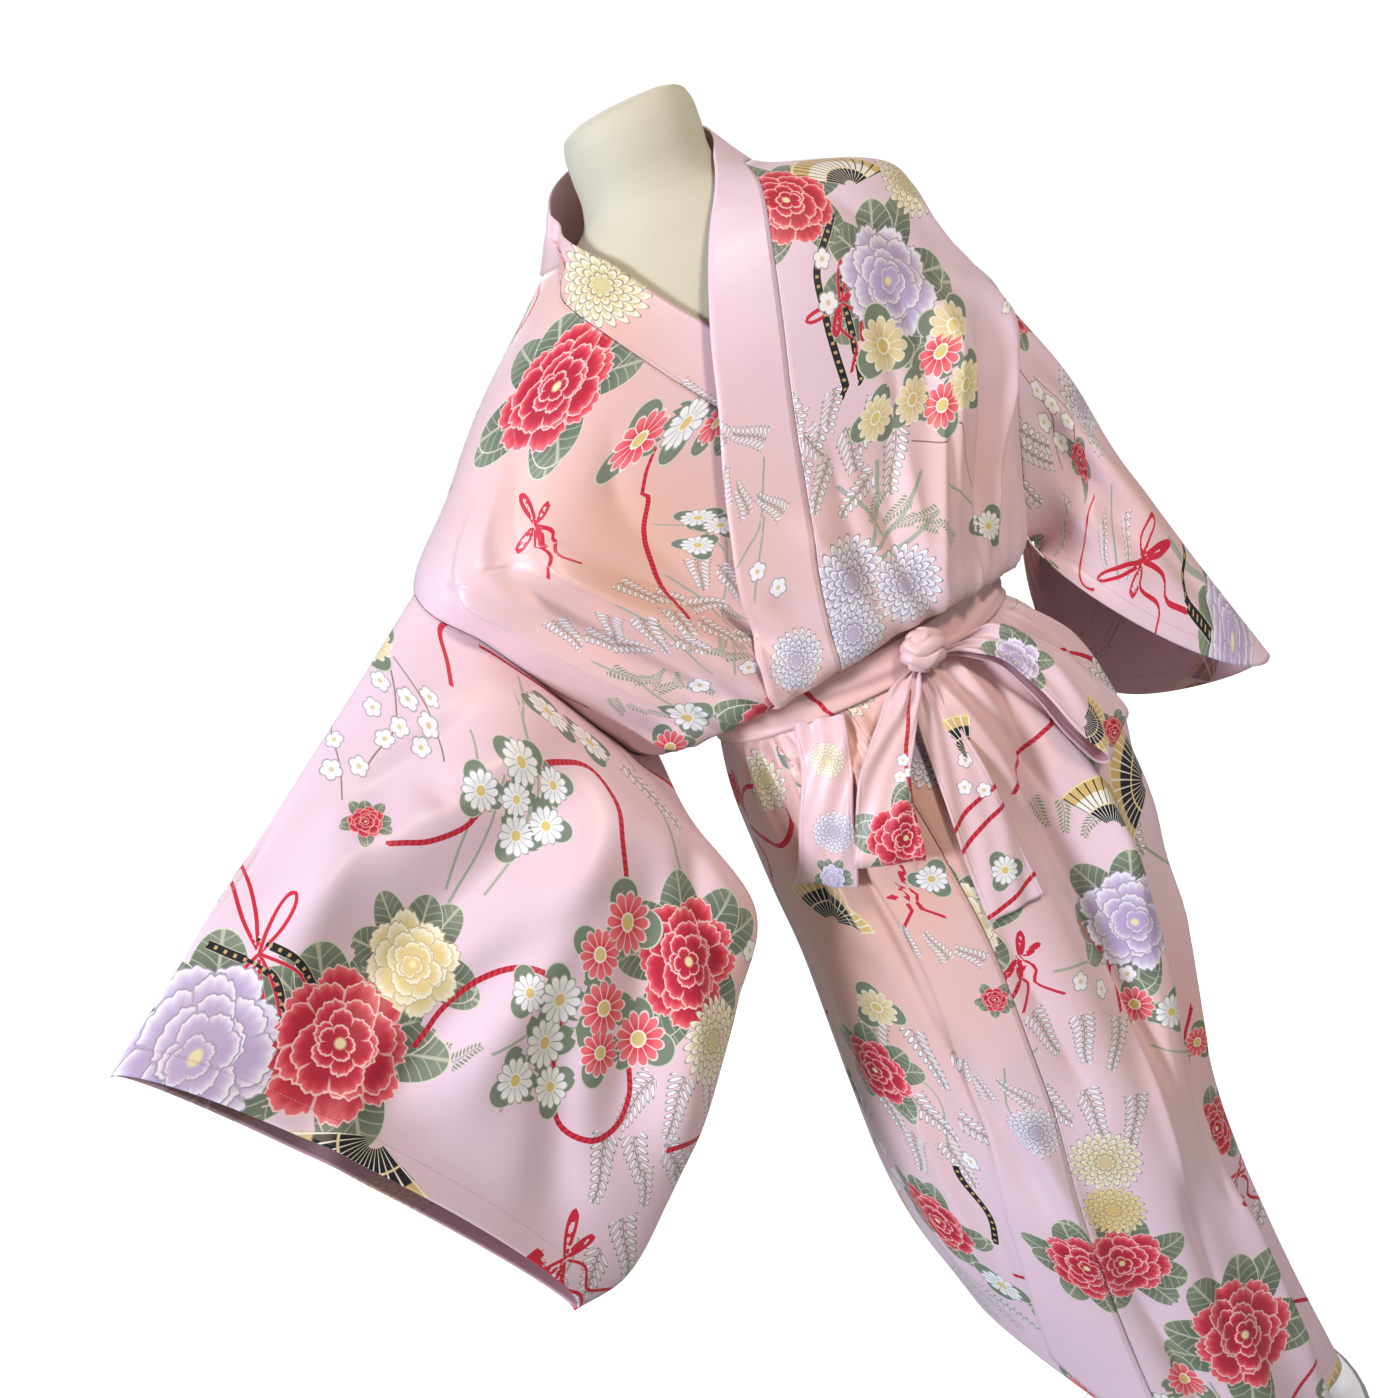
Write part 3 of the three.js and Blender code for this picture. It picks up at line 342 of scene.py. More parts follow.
def sheetMesh(name, grid, wall, uv, away, ring=False, sew=None, warmTintAndShade=None):
    """grid holds the outer face in millimetres, away a point inside for each point of it"""
    rows, cols = grid.shape[:2]
    n = unitNormals(grid, ring)
    if np.sum(n * (grid - away)) < 0:
        n = -n
    inner = grid - n * wall
    points = np.concatenate([grid.reshape(-1, 3), inner.reshape(-1, 3)]) / 1000
    shift = rows * cols
    last = cols if ring else cols - 1
    i, j = np.meshgrid(np.arange(rows - 1), np.arange(last), indexing="ij")
    i, j = i.ravel(), j.ravel()
    corner = lambda a, b: (a, b)
    quads, marks, isInner = [], [], []

    def addQuads(cells, layer, inside):
        ids, where = [], []
        for (a, b), l in zip(cells, layer):
            ids.append(a * cols + (b % cols) + l * shift)
            where.append(a * (cols + 1) + b)
        quads.append(np.stack(ids, 1))
        marks.append(np.stack(where, 1))
        isInner.append(np.full(len(ids[0]), inside))

    quadOuter = [(i, j), (i + 1, j), (i + 1, j + 1), (i, j + 1)]
    addQuads(quadOuter, [0] * 4, 0)
    addQuads(quadOuter[::-1], [1] * 4, 1)
    k = np.arange(last)
    zero, end = np.zeros_like(k), np.full_like(k, rows - 1)
    addQuads([(zero, k), (zero, k + 1), (zero, k + 1), (zero, k)], [0, 0, 1, 1], 0)
    addQuads([(end, k + 1), (end, k), (end, k), (end, k + 1)], [0, 0, 1, 1], 0)
    if not ring:
        m = np.arange(rows - 1)
        zero, end = np.zeros_like(m), np.full_like(m, cols - 1)
        addQuads([(m + 1, zero), (m, zero), (m, zero), (m + 1, zero)], [0, 0, 1, 1], 0)
        addQuads([(m, end), (m + 1, end), (m + 1, end), (m, end)], [0, 0, 1, 1], 0)
    quads, marks, isInner = np.concatenate(quads), np.concatenate(marks), np.concatenate(isInner)
    p = points[quads[0]]
    if np.dot(np.cross(p[1] - p[0], p[2] - p[0]), n[0, 0]) < 0:
        quads, marks = quads[:, ::-1], marks[:, ::-1]
    mesh = bpy.data.meshes.new(name)
    mesh.from_pydata(points.tolist(), [], quads.tolist())
    mesh.update()
    mesh.polygons.foreach_set("use_smooth", np.ones(len(quads), bool))
    mesh.polygons.foreach_set("material_index", isInner.astype(np.int32))

    def perCorner(values):
        # values has one entry for each row and column, one more column than the grid
        if values.shape[1] == cols:
            values = np.concatenate([values, values[:, :1]], 1)
        return values.reshape(rows * (cols + 1), -1)[marks.ravel()]

    cornerUv = perCorner(uv)
    layer = mesh.uv_layers.new(name="cloth")
    layer.data.foreach_set("uv", (cornerUv / 1000).ravel())
    sew = np.full((rows, cols, 2), 99.0) if sew is None else sew
    warmTintAndShade = np.zeros((rows, cols, 1)) if warmTintAndShade is None else warmTintAndShade
    setCorners(mesh, "sew", np.concatenate([perCorner(sew), np.zeros((len(cornerUv), 1))], 1))
    # this corner attribute carries the painted warm light and shade of the peach areas, and on the belt and knot also a
    # plain warm tint
    setCorners(mesh, "warmTintAndShade", np.repeat(perCorner(warmTintAndShade), 3, 1))
    obj = bpy.data.objects.new(name, mesh)
    bpy.context.collection.objects.link(obj)
    return obj, cornerUv, isInner


def setCorners(mesh, name, values):
    attribute = mesh.attributes.new(name, "FLOAT_VECTOR", "CORNER")
    attribute.data.foreach_set("vector", np.asarray(values, np.float32).ravel())


# ---------------------------------------------------------------- print: flowers and cords on the cloth
# kinds: peony, mum, daisy, plum, wisteria, fan; tint 0 red, 1 lilac and white, 2 cream, 3 gold
repeat = (640.0, 720.0)
repeatMotifs = [
    ("peony", 0, 110, 120, 58, 0.3), ("peony", 1, 420, 90, 60, 2.0), ("peony", 2, 260, 330, 46, 1.1),
    ("peony", 0, 520, 400, 56, 4.0), ("peony", 1, 120, 560, 58, 5.1), ("peony", 0, 390, 620, 52, 2.6),
    ("mum", 2, 215, 80, 36, 0.2), ("mum", 1, 560, 230, 38, 1.4), ("mum", 2, 40, 400, 34, 0.8),
    ("mum", 1, 300, 520, 36, 2.2), ("mum", 0, 560, 600, 30, 0.5),
    ("daisy", 0, 190, 170, 22, 0.1), ("daisy", 1, 225, 205, 20, 0.9), ("daisy", 3, 265, 175, 22, 0.3),
    ("daisy", 0, 470, 200, 20, 1.7), ("daisy", 3, 505, 175, 22, 0.7), ("daisy", 1, 440, 330, 19, 2.5),
    ("daisy", 0, 455, 475, 21, 0.5), ("daisy", 1, 480, 505, 19, 1.5), ("daisy", 0, 200, 620, 20, 2.1),
    ("daisy", 3, 215, 575, 21, 0.2), ("daisy", 1, 30, 240, 18, 1.2), ("daisy", 1, 62, 262, 17, 0.4),
    ("plum", 1, 330, 200, 10, 0.1), ("plum", 1, 345, 222, 9, 0.8), ("plum", 1, 322, 238, 10, 0.4),
    ("plum", 1, 352, 250, 9, 1.1), ("plum", 1, 335, 272, 10, 0.2), ("plum", 1, 310, 262, 8, 0.9),
    ("plum", 1, 150, 400, 10, 0.3), ("plum", 1, 168, 425, 9, 0.1), ("plum", 1, 146, 445, 9, 0.7),
    ("plum", 1, 175, 460, 10, 0.5), ("plum", 1, 160, 482, 8, 0.9), ("plum", 1, 600, 480, 10, 0.2),
    ("plum", 1, 615, 505, 9, 0.6), ("plum", 1, 592, 524, 9, 0.4), ("plum", 1, 620, 540, 8, 0.1),
    ("wisteria", 1, 30, 320, 55, 0.2), ("wisteria", 1, 70, 330, 50, -0.3), ("wisteria", 1, 350, 420, 58, 0.1),
    ("wisteria", 1, 395, 400, 48, 0.5), ("wisteria", 1, 530, 60, 50, -0.4), ("wisteria", 1, 590, 90, 55, 0.1),
    ("wisteria", 1, 250, 660, 52, 0.3), ("wisteria", 1, 40, 680, 50, -0.2), ("wisteria", 1, 480, 690, 46, 0.4),
    ("fan", 0, 600, 320, 62, 0.5), ("fan", 1, 30, 500, 58, 2.4), ("fan", 0, 300, 20, 56, 3.6),
]
# curves: kind (0 red cord, 1 branch, 2 grass, 3 black ribbon, 4 red tape), half width, points
repeatCurves = [
    (0, 2.3, [(20, 190), (80, 215), (140, 240), (190, 300), (200, 370), (240, 420), (300, 430)]),
    (0, 2.3, [(430, 180), (400, 250), (430, 300), (500, 290), (540, 250), (600, 180), (640, 160)]),
    (4, 3.0, [(330, 560), (300, 600), (330, 640), (360, 600), (340, 560), (370, 520), (420, 540), (400, 575),
              (345, 565)]),
    (0, 2.3, [(60, 620), (120, 660), (180, 650), (210, 700), (260, 720)]),
    (3, 3.6, [(480, 130), (460, 180), (475, 230), (460, 280)]),
]
repeatStems = [
    (1, 1.0, [(300, 190), (322, 215), (330, 250), (322, 290)]), (1, 1.0, [(330, 205), (355, 225), (368, 262)]),
    (1, 1.0, [(150, 385), (160, 420), (166, 460), (158, 500)]), (1, 1.0, [(590, 460), (606, 500), (602, 550)]),
    (2, 1.6, [(380, 300), (400, 350), (440, 380)]), (2, 1.6, [(370, 310), (380, 360), (410, 400)]),
    (2, 1.6, [(100, 300), (90, 350), (110, 390)]), (2, 1.6, [(520, 520), (500, 560), (510, 600)]),
    (2, 1.6, [(160, 180), (150, 230), (120, 270)]), (2, 1.6, [(620, 380), (590, 420), (580, 460)]),
    (2, 1.4, [(240, 480), (270, 500), (280, 560)]), (2, 1.4, [(0, 600), (20, 640), (10, 690)]),
]

kinds = ["peony", "mum", "daisy", "plum", "wisteria", "fan"]


def bow(x, z, size, turn=0.0):
    # loops and ends of a thin red tape tied in a bow
    made = []
    for side in (-1, 1):
        for spread, length in ((0.45, 1.0), (-0.4, 0.8)):
            points = []
            for t in np.linspace(0, math.pi, 9):
                reach = size * length * math.sin(t)
                angle = turn + (0 if side > 0 else math.pi) + side * (spread + 0.55 * (t / math.pi - 0.5))
                points.append((x + reach * math.cos(angle), z + reach * math.sin(angle)))
            made.append((4, 1.7, points))
        made.append((4, 1.7, [(x, z), (x + side * 0.3 * size, z - 0.5 * size), (x + side * 0.1 * size, z - size),
                              (x + side * 0.4 * size, z - 1.4 * size)]))
    return made

# room that a motif keeps free round its own radius
roomOf = {"peony": 1.35, "mum": 1.0, "daisy": 1.0, "plum": 1.0, "wisteria": 1.0, "fan": 1.0, "plain": 1.0}


def sprayed(motifsOf):
    # a spray is three small ones side by side
    made = []
    for kind, tint, x, z, size, turn in motifsOf:
        if kind != "wisteria":
            made.append((kind, tint, x, z, size, turn))
            continue
        for dx, dz, more in ((0, 0, 0), (0.62, -0.5, 0.5), (-0.6, 0.45, -0.45)):
            made.append((kind, tint, x + dx * size, z + dz * size, 0.56 * size, turn + more))
    return made


def paintMotifs(obj, cornerUv, grid, uv, placed, curves, repeats, ring=False, facing=-1):
    """stores on each corner the motif coordinates of the motif that its face shows"""
    mesh = obj.data
    cells = cornerUv.reshape(-1, 4, 2)
    centre = cells.mean(1)
    flat = grid.reshape(-1, 3)
    uvFlat = (uv[:, :grid.shape[1]]).reshape(-1, 2)
    front = unitNormals(grid, ring).reshape(-1, 3)
    middle = grid.mean(1, keepdims=True) * np.ones_like(grid)
    away = (grid - middle).reshape(-1, 3)
    outside = front * np.sign((front * away).sum(-1, keepdims=True) + 1e-9)
    seen = np.where(facing * outside[:, 1] > -0.05, 0.0, 1e5) if ring else np.zeros(len(flat))

    def uvAt(x, z):
        d = (flat[:, 0] - x) ** 2 + (flat[:, 2] - z) ** 2 + seen
        near = np.argpartition(d, 9)[:9]
        first = near[np.argmin(d[near])]
        near = near[np.linalg.norm(uvFlat[near] - uvFlat[first], axis=1) < 16]
        if len(near) < 5 or d[first] > 60:
            return uvFlat[first]
        ones = np.ones(len(near))
        plane = np.stack([ones, flat[near, 0] - x, flat[near, 2] - z], 1)
        fit = np.linalg.lstsq(plane, uvFlat[near], rcond=None)[0][0]
        return fit if np.linalg.norm(fit - uvFlat[first]) < 12 else uvFlat[first]

    own = []
    for kind, tint, x, z, size, turn in sprayed(placed):
        at = uvAt(x, z)
        own.append((kind, tint, at[0], at[1], size, turn))
    every = [m + (False,) for m in own]
    if repeats:
        for kind, tint, x, y, size, turn in sprayed(repeatMotifs):
            every.append((kind, tint, x, y, size, turn, True))
    tile = np.array(repeat)
    for kind in kinds:
        best = np.full(len(cells), 1e9)
        local = np.full((len(cells), 4, 3), 0.0)
        local[:, :, 0] = 9.0
        for k, tint, x, y, size, turn, tiled in every:
            if k != kind:
                continue
            offset = centre - np.array([x, y])
            if tiled:
                offset = (offset + tile / 2) % tile - tile / 2
            distance = np.linalg.norm(offset, axis=1) / size
            use = (distance < best) & (distance < 2.2)
            if tiled and own:
                # a repeated motif gives way to the placed ones
                home = centre - offset
                for k2, t2, x2, y2, s2, a2 in own:
                    near = np.linalg.norm(home - np.array([x2, y2]), axis=1)
                    use &= near > 0.85 * (s2 * roomOf[k2] + size * roomOf[k])
            best = np.where(use, distance, best)
            rel = cells[use] - (centre[use] - offset[use])[:, None]
            c, s = math.cos(turn), math.sin(turn)
            local[use, :, 0] = (rel[..., 0] * c - rel[..., 1] * s) / size
            local[use, :, 1] = (rel[..., 0] * s + rel[..., 1] * c) / size
            local[use, :, 2] = tint
        setCorners(mesh, "print_" + kind, local.reshape(-1, 3))
    for name, own2, tiledOnes in (("cords", curves.get("cords", []), repeatCurves),
                                  ("stems", curves.get("stems", []), repeatStems)):
        lines = []
        for kind, half, points in own2:
            for part in unbroken(points, [uvAt(*p) for p in points]):
                lines.append((kind, half, roundOff(part), False))
        if repeats:
            for kind, half, points in tiledOnes:
                lines.append((kind, half, roundOff(points), True))
        setCorners(mesh, "print_" + name, curveCoordinates(cells, centre, lines, own, tile))


def unbroken(points, marks):
    # a line ends where the cloth turns away from it
    parts = [[marks[0]]]
    for a, b, u, v in zip(points[:-1], points[1:], marks[:-1], marks[1:]):
        apart = math.hypot(b[0] - a[0], b[1] - a[1])
        if np.linalg.norm(v - u) > 2.0 * apart + 12:
            parts.append([])
        parts[-1].append(v)
    return [np.array(part) for part in parts if len(part) > 1]


def roundOff(points):
    # a smooth line through a few points, one sample every 3 mm
    p = np.asarray(points, float)
    ext = np.vstack([2 * p[0] - p[1], p, 2 * p[-1] - p[-2]])
    out = []
    for a, b, c, d in zip(ext[:-3], ext[1:-2], ext[2:-1], ext[3:]):
        count = max(2, int(np.linalg.norm(c - b) / 3))
        t = np.linspace(0, 1, count, endpoint=False)[:, None]
        out.append(0.5 * (2 * b + (c - a) * t + (2 * a - 5 * b + 4 * c - d) * t ** 2
                          + (3 * b - 3 * c + d - a) * t ** 3))
    return np.vstack(out + [p[-1:]])


def curveCoordinates(cells, centre, lines, own, tile):
    best = np.full(len(cells), 14.0)
    local = np.full((len(cells), 4, 3), 0.0)
    local[:, :, 0] = 9.0
    for kind, half, line, tiled in lines:
        along = np.concatenate([[0], np.cumsum(np.linalg.norm(np.diff(line, axis=0), axis=1))])
        tangent = np.gradient(line, axis=0)
        tangent /= np.maximum(np.linalg.norm(tangent, axis=1, keepdims=True), 1e-9)
        chunk = 20
        for start in range(0, len(line) - 1, chunk):
            core = line[start:start + chunk + 1]
            low, high = max(0, start - 6), min(len(line), start + chunk + 7)
            mid = core.mean(0)
            offset = centre - mid
            if tiled:
                offset = (offset + tile / 2) % tile - tile / 2
            reach = np.linalg.norm(core - mid, axis=1).max() + 16
            near = np.where(np.linalg.norm(offset, axis=1) < reach)[0]
            if tiled and len(near):
                home = centre[near] - offset[near]
                keep = np.ones(len(near), bool)
                for k2, t2, x2, y2, s2, a2 in own:
                    keep &= np.linalg.norm(home - np.array([x2, y2]), axis=1) > s2 * roomOf[k2] + 20
                near = near[keep]
            if not len(near):
                continue
            at = offset[near] + mid
            d = np.linalg.norm(at[:, None] - core[None], axis=2).min(1)
            use = d < best[near]
            near, at, d = near[use], at[use], d[use]
            if not len(near):
                continue
            best[near] = d
            corners = cells[near] - centre[near][:, None] + at[:, None]
            samples, tan = line[low:high], tangent[low:high]
            pick = np.argmin(np.linalg.norm(corners[:, :, None] - samples[None, None], axis=3), 2)
            rel = corners - samples[pick]
            t = tan[pick]
            local[near, :, 0] = (t[..., 0] * rel[..., 1] - t[..., 1] * rel[..., 0]) / half
            local[near, :, 1] = along[low + pick] + (t * rel).sum(-1)
            local[near, :, 2] = kind
    return local.reshape(-1, 3)


# ---------------------------------------------------------------- shader arithmetic
class Value:
    """a number in a node tree, so that a formula can be written out"""

    def __init__(self, tree, socket):
        self.tree, self.socket = tree, socket

    def math(self, operation, *others, clamp=False):
        node = self.tree.nodes.new("ShaderNodeMath")
        node.operation = operation
        node.use_clamp = clamp
        for k, one in enumerate((self,) + others):
            if isinstance(one, Value):
                self.tree.links.new(one.socket, node.inputs[k])
            else:
                node.inputs[k].default_value = one
        return Value(self.tree, node.outputs[0])

    def __add__(self, other):
        return self.math("ADD", other)

    def __sub__(self, other):
        return self.math("SUBTRACT", other)

    def __mul__(self, other):
        return self.math("MULTIPLY", other)

    def __truediv__(self, other):
        return self.math("DIVIDE", other)

    def __rsub__(self, other):
        return (self * -1.0) + other

    __radd__ = __add__
    __rmul__ = __mul__

    def sine(self):
        return self.math("SINE")

    def absolute(self):
        return self.math("ABSOLUTE")

    def power(self, other):
        return self.math("POWER", other)

    def least(self, other):
        return self.math("MINIMUM", other)

    def most(self, other):
        return self.math("MAXIMUM", other)

    def ramp(self, low, high):
        # 0 at low, 1 at high, smooth between
        node = self.tree.nodes.new("ShaderNodeMapRange")
        node.interpolation_type = "SMOOTHSTEP"
        self.tree.links.new(self.socket, node.inputs["Value"])
        node.inputs["From Min"].default_value = min(low, high)
        node.inputs["From Max"].default_value = max(low, high)
        node.inputs["To Min"].default_value = 0.0 if low < high else 1.0
        node.inputs["To Max"].default_value = 1.0 if low < high else 0.0
        return Value(self.tree, node.outputs["Result"])


def mixColour(tree, factor, under, upper):
    node = tree.nodes.new("ShaderNodeMix")
    node.data_type = "RGBA"
    for socket, value in ((node.inputs[0], factor), (node.inputs[6], under), (node.inputs[7], upper)):
        if isinstance(value, Value):
            tree.links.new(value.socket, socket)
        elif isinstance(value, bpy.types.NodeSocket):
            tree.links.new(value, socket)
        else:
            socket.default_value = value if isinstance(value, float) else (*value, 1)
    return node.outputs[2]


def colourBy(tree, value, colours):
    # one colour for each whole number
    node = tree.nodes.new("ShaderNodeValToRGB")
    node.color_ramp.interpolation = "CONSTANT"
    tree.links.new((value * (1 / len(colours)) + 0.5 / len(colours)).socket, node.inputs[0])
    ramp = node.color_ramp
    while len(ramp.elements) < len(colours):
        ramp.elements.new(0.5)
    for k, colour in enumerate(colours):
        ramp.elements[k].position = k / len(colours)
        ramp.elements[k].color = (*colour, 1)
    return node.outputs[0]


def attribute(tree, name):
    node = tree.nodes.new("ShaderNodeAttribute")
    node.attribute_name = name
    split = tree.nodes.new("ShaderNodeSeparateXYZ")
    tree.links.new(node.outputs["Vector"], split.inputs[0])
    return [Value(tree, s) for s in split.outputs]


def polar(x, y):
    radius = (x * x + y * y).math("SQRT")
    return radius, y.math("ARCTAN2", x)


def petals(radius, angle, count, size, depth, phase, sharp=0.5):
    # how far inside a ring of petals a point is, in motif units
    lobe = (angle * (count / 2) + phase).sine().absolute().power(sharp)
    return (lobe * depth + (1 - depth)) * size - radius


ink = {
    "redDark": (0.34, 0.012, 0.03), "red": (0.66, 0.03, 0.06), "redPale": (0.9, 0.32, 0.32),
    "lilac": (0.56, 0.45, 0.68), "lilacPale": (0.92, 0.88, 0.94), "cream": (0.86, 0.76, 0.42),
    "creamPale": (0.96, 0.93, 0.8), "gold": (0.72, 0.52, 0.2), "green": (0.13, 0.17, 0.12),
    "greenPale": (0.4, 0.45, 0.36), "black": (0.012, 0.012, 0.014), "white": (0.95, 0.94, 0.93),
    "brown": (0.3, 0.2, 0.15),
}


def makePrint():
    """the printed cloth: colour from the motif coordinates stored on the corners"""
    tree = bpy.data.node_groups.new("clothPrint", "ShaderNodeTree")
    tree.interface.new_socket("Ground", in_out="INPUT", socket_type="NodeSocketColor")
    tree.interface.new_socket("Colour", in_out="OUTPUT", socket_type="NodeSocketColor")
    start = tree.nodes.new("NodeGroupInput")
    end = tree.nodes.new("NodeGroupOutput")
    colour = start.outputs[0]

    # stems, branches and grass
    d, along, kind = attribute(tree, "print_stems")
    inside = d.absolute().ramp(1.0, 0.7)
    colour = mixColour(tree, inside, colour, colourBy(tree, kind, [ink["red"], ink["brown"], ink["greenPale"]]))

    # hanging sprays of small outlined petals, or of leaflets
    x, y, tint = attribute(tree, "print_wisteria")
    x = x - (y * 2.3).sine() * 0.1
    wide = (y * -0.16 + 0.38).most(0.05)
    out = x.absolute()
    across = (out - wide * 0.56) / (wide * 0.46)
    down = ((y - out * 0.7) * 4.2 + x.math("SIGN") * 0.25).math("FRACT") - 0.5
    blob = (across * across + down * down * 8.0).math("SQRT")
    spray = y.absolute().math("LESS_THAN", 1.0)
    petal = mixColour(tree, tint.ramp(0.3, 0.7), (0.27, 0.3, 0.22), mixColour(tree, blob.ramp(0.1, 0.9), ink["lilacPale"], ink["white"]))
    rimInk = mixColour(tree, tint.ramp(0.3, 0.7), (0.6, 0.62, 0.5), (0.16, 0.18, 0.17))
    colour = mixColour(tree, blob.ramp(1.06, 0.98) * spray, colour, petal)
    colour = mixColour(tree, (blob - 0.9).absolute().ramp(0.2, 0.1) * spray * 0.85, colour, rimInk)
    stalk = out.ramp(0.035, 0.015) * spray
    colour = mixColour(tree, stalk, colour, (0.3, 0.32, 0.24))

    # leaves behind peonies
    x, y, tint = attribute(tree, "print_peony")
    radius, angle = polar(x, y)
    for count, size, phase in ((5, 1.55, 0.4), (4, 1.42, 1.5)):
        leaf = petals(radius, angle, count, size, 0.62, phase, 1.5)
        green = mixColour(tree, radius.ramp(0.85, 1.5), ink["green"], (0.24, 0.29, 0.2))
        colour = mixColour(tree, leaf.ramp(-0.01, 0.015), colour, green)
        vein = (angle * (count / 2) + phase + math.pi / 2).sine().absolute().ramp(0.07, 0.02)
        side = ((radius * 34.0 + (angle * (count / 2) + phase + math.pi / 2).sine().absolute() * -16.0).sine())
        veins = vein.most(side.ramp(0.86, 0.97) * 0.7)
        colour = mixColour(tree, leaf.ramp(0.0, 0.02) * veins * 0.75, colour, (0.62, 0.64, 0.5))
        colour = mixColour(tree, leaf.absolute().ramp(0.02, 0.008), colour, (0.72, 0.72, 0.6))

    # cords: twisted red, branch, grass, black ribbon, red tape
    d, along, kind = attribute(tree, "print_cords")
    inside = d.absolute().ramp(1.0, 0.86)
    twist = ((along * 1.1 + d * 1.6).sine()).ramp(-0.2, 0.75)
    isCord = kind.math("LESS_THAN", 0.5)
    isRibbon = kind.math("COMPARE", 3.0, 0.3)
    tape = colourBy(tree, kind, [ink["red"], ink["brown"], ink["greenPale"], ink["black"], (0.62, 0.02, 0.05)])
    tape = mixColour(tree, twist * isCord * 0.85, tape, (0.36, 0.01, 0.02))
    dots = (along * 0.8).sine().ramp(0.4, 0.7) * d.absolute().ramp(0.45, 0.3) * isRibbon
    tape = mixColour(tree, dots * 0.8, tape, ink["gold"])
    colour = mixColour(tree, inside, colour, tape)
    edge = (d.absolute() - 0.93).absolute().ramp(0.1, 0.04) * (1 - isCord)
    colour = mixColour(tree, edge * 0.6, colour, ink["creamPale"])

    # fans: ribs, bands and a scalloped edge
    x, y, tint = attribute(tree, "print_fan")
    radius, angle = polar(x, y)
    wedge = angle.absolute().math("LESS_THAN", 1.25) * radius.ramp(1.0, 0.985) * radius.ramp(0.12, 0.14)
    ribs = (angle * 18.0).sine().absolute().ramp(0.4, 0.15)
    leafPart = radius.ramp(0.44, 0.46)
    base = mixColour(tree, tint.ramp(0.3, 0.7), ink["black"], ink["creamPale"])
    band = mixColour(tree, (radius * 9.0).sine().ramp(0.0, 0.3), base, ink["gold"])
    band = mixColour(tree, ribs, band, mixColour(tree, tint.ramp(0.3, 0.7), ink["creamPale"], ink["black"]))
    sticks = mixColour(tree, ribs, ink["black"], ink["creamPale"])
    fan = mixColour(tree, leafPart, sticks, band)
    lines = ((radius - 0.97).absolute().ramp(0.03, 0.015)).most((radius - 0.45).absolute().ramp(0.02, 0.01))
    fan = mixColour(tree, lines, fan, ink["cream"])
    colour = mixColour(tree, wedge, colour, fan)

    # peonies, four rings of petals from the outside in
    x, y, tint = attribute(tree, "print_peony")
    radius, angle = polar(x, y)
    deep = colourBy(tree, tint, [(0.48, 0.015, 0.04), (0.5, 0.4, 0.62), (0.75, 0.6, 0.25), ink["gold"]])
    mid = colourBy(tree, tint, [(0.74, 0.05, 0.08), (0.8, 0.74, 0.88), (0.93, 0.88, 0.62), ink["cream"]])
    pale = colourBy(tree, tint, [(0.9, 0.2, 0.22), ink["white"], ink["creamPale"], ink["creamPale"]])
    line = colourBy(tree, tint, [(0.97, 0.66, 0.62), (0.36, 0.32, 0.42), (0.5, 0.42, 0.25), ink["brown"]])
    for count, size, depth, phase, px, py in (
        (8, 1.0, 0.2, 0.3, 0.0, 0.0), (7, 0.8, 0.2, 1.1, 0.03, -0.05), (6, 0.6, 0.22, 0.2, -0.03, 0.04),
        (6, 0.42, 0.26, 1.9, 0.02, -0.02), (5, 0.24, 0.3, 0.8, 0.0, 0.02),
    ):
        wx = x + (y * 4.3 + phase * 2).sine() * 0.05
        wy = y + (x * 3.7 + phase * 3).sine() * 0.06
        r1, a1 = polar(wx - px, wy - py)
        wobble = (a1 * 3.0 + phase).sine() * 0.05 + (a1 * float(count * 4)).sine() * 0.02 + (a1 * float(count * 7)).sine() * 0.012
        ring = petals(r1 + wobble * size, a1, count, size, depth, phase)
        lobe = (a1 * (count / 2) + phase).sine().absolute()
        depthIn = ring / size
        shade = depthIn.ramp(0.34, 0.0) * (lobe * 0.5 + 0.5)
        fill = mixColour(tree, shade, deep, mid)
        fill = mixColour(tree, depthIn.ramp(0.16, 0.0) * 0.75, fill, pale)
        streak = (a1 * float(count * 7)).sine().ramp(0.55, 0.95) * depthIn.ramp(0.02, 0.2)
        fill = mixColour(tree, streak * 0.35, fill, deep)
        colour = mixColour(tree, ring.ramp(-0.006, 0.008), colour, fill)
        cut = lobe.ramp(0.16, 0.05) * depthIn.ramp(0.3, 0.1) * ring.ramp(0.0, 0.01)
        outline = ring.absolute().ramp(0.02, 0.007).most(cut * 0.8)
        colour = mixColour(tree, outline * 0.9, colour, line)
    colour = mixColour(tree, radius.ramp(0.1, 0.05), colour, ink["cream"])

    # chrysanthemums: rings of narrow petals
    x, y, tint = attribute(tree, "print_mum")
    radius, angle = polar(x, y)
    base = colourBy(tree, tint, [ink["red"], (0.5, 0.44, 0.56), (0.7, 0.6, 0.3), ink["gold"]])
    pale = colourBy(tree, tint, [ink["redPale"], ink["white"], ink["creamPale"], ink["cream"]])
    line = colourBy(tree, tint, [ink["redDark"], (0.17, 0.15, 0.2), (0.26, 0.22, 0.12), ink["brown"]])
    for count, size, phase in ((21, 1.0, 0.0), (18, 0.82, 0.9), (15, 0.64, 0.3), (12, 0.46, 1.2), (9, 0.28, 0.5)):
        ring = petals(radius, angle + radius * 0.35, count, size, 0.3, phase, 0.8)
        lobe = ((angle + radius * 0.35) * (count / 2) + phase).sine().absolute()
        fill = mixColour(tree, (ring / size).ramp(0.3, 0.0), base, pale)
        colour = mixColour(tree, ring.ramp(-0.008, 0.01), colour, fill)
        outline = ring.absolute().ramp(0.028, 0.01).most(lobe.ramp(0.22, 0.08) * (ring / size).ramp(0.4, 0.3) * ring.ramp(0.0, 0.01))
        colour = mixColour(tree, outline * 0.85, colour, line)

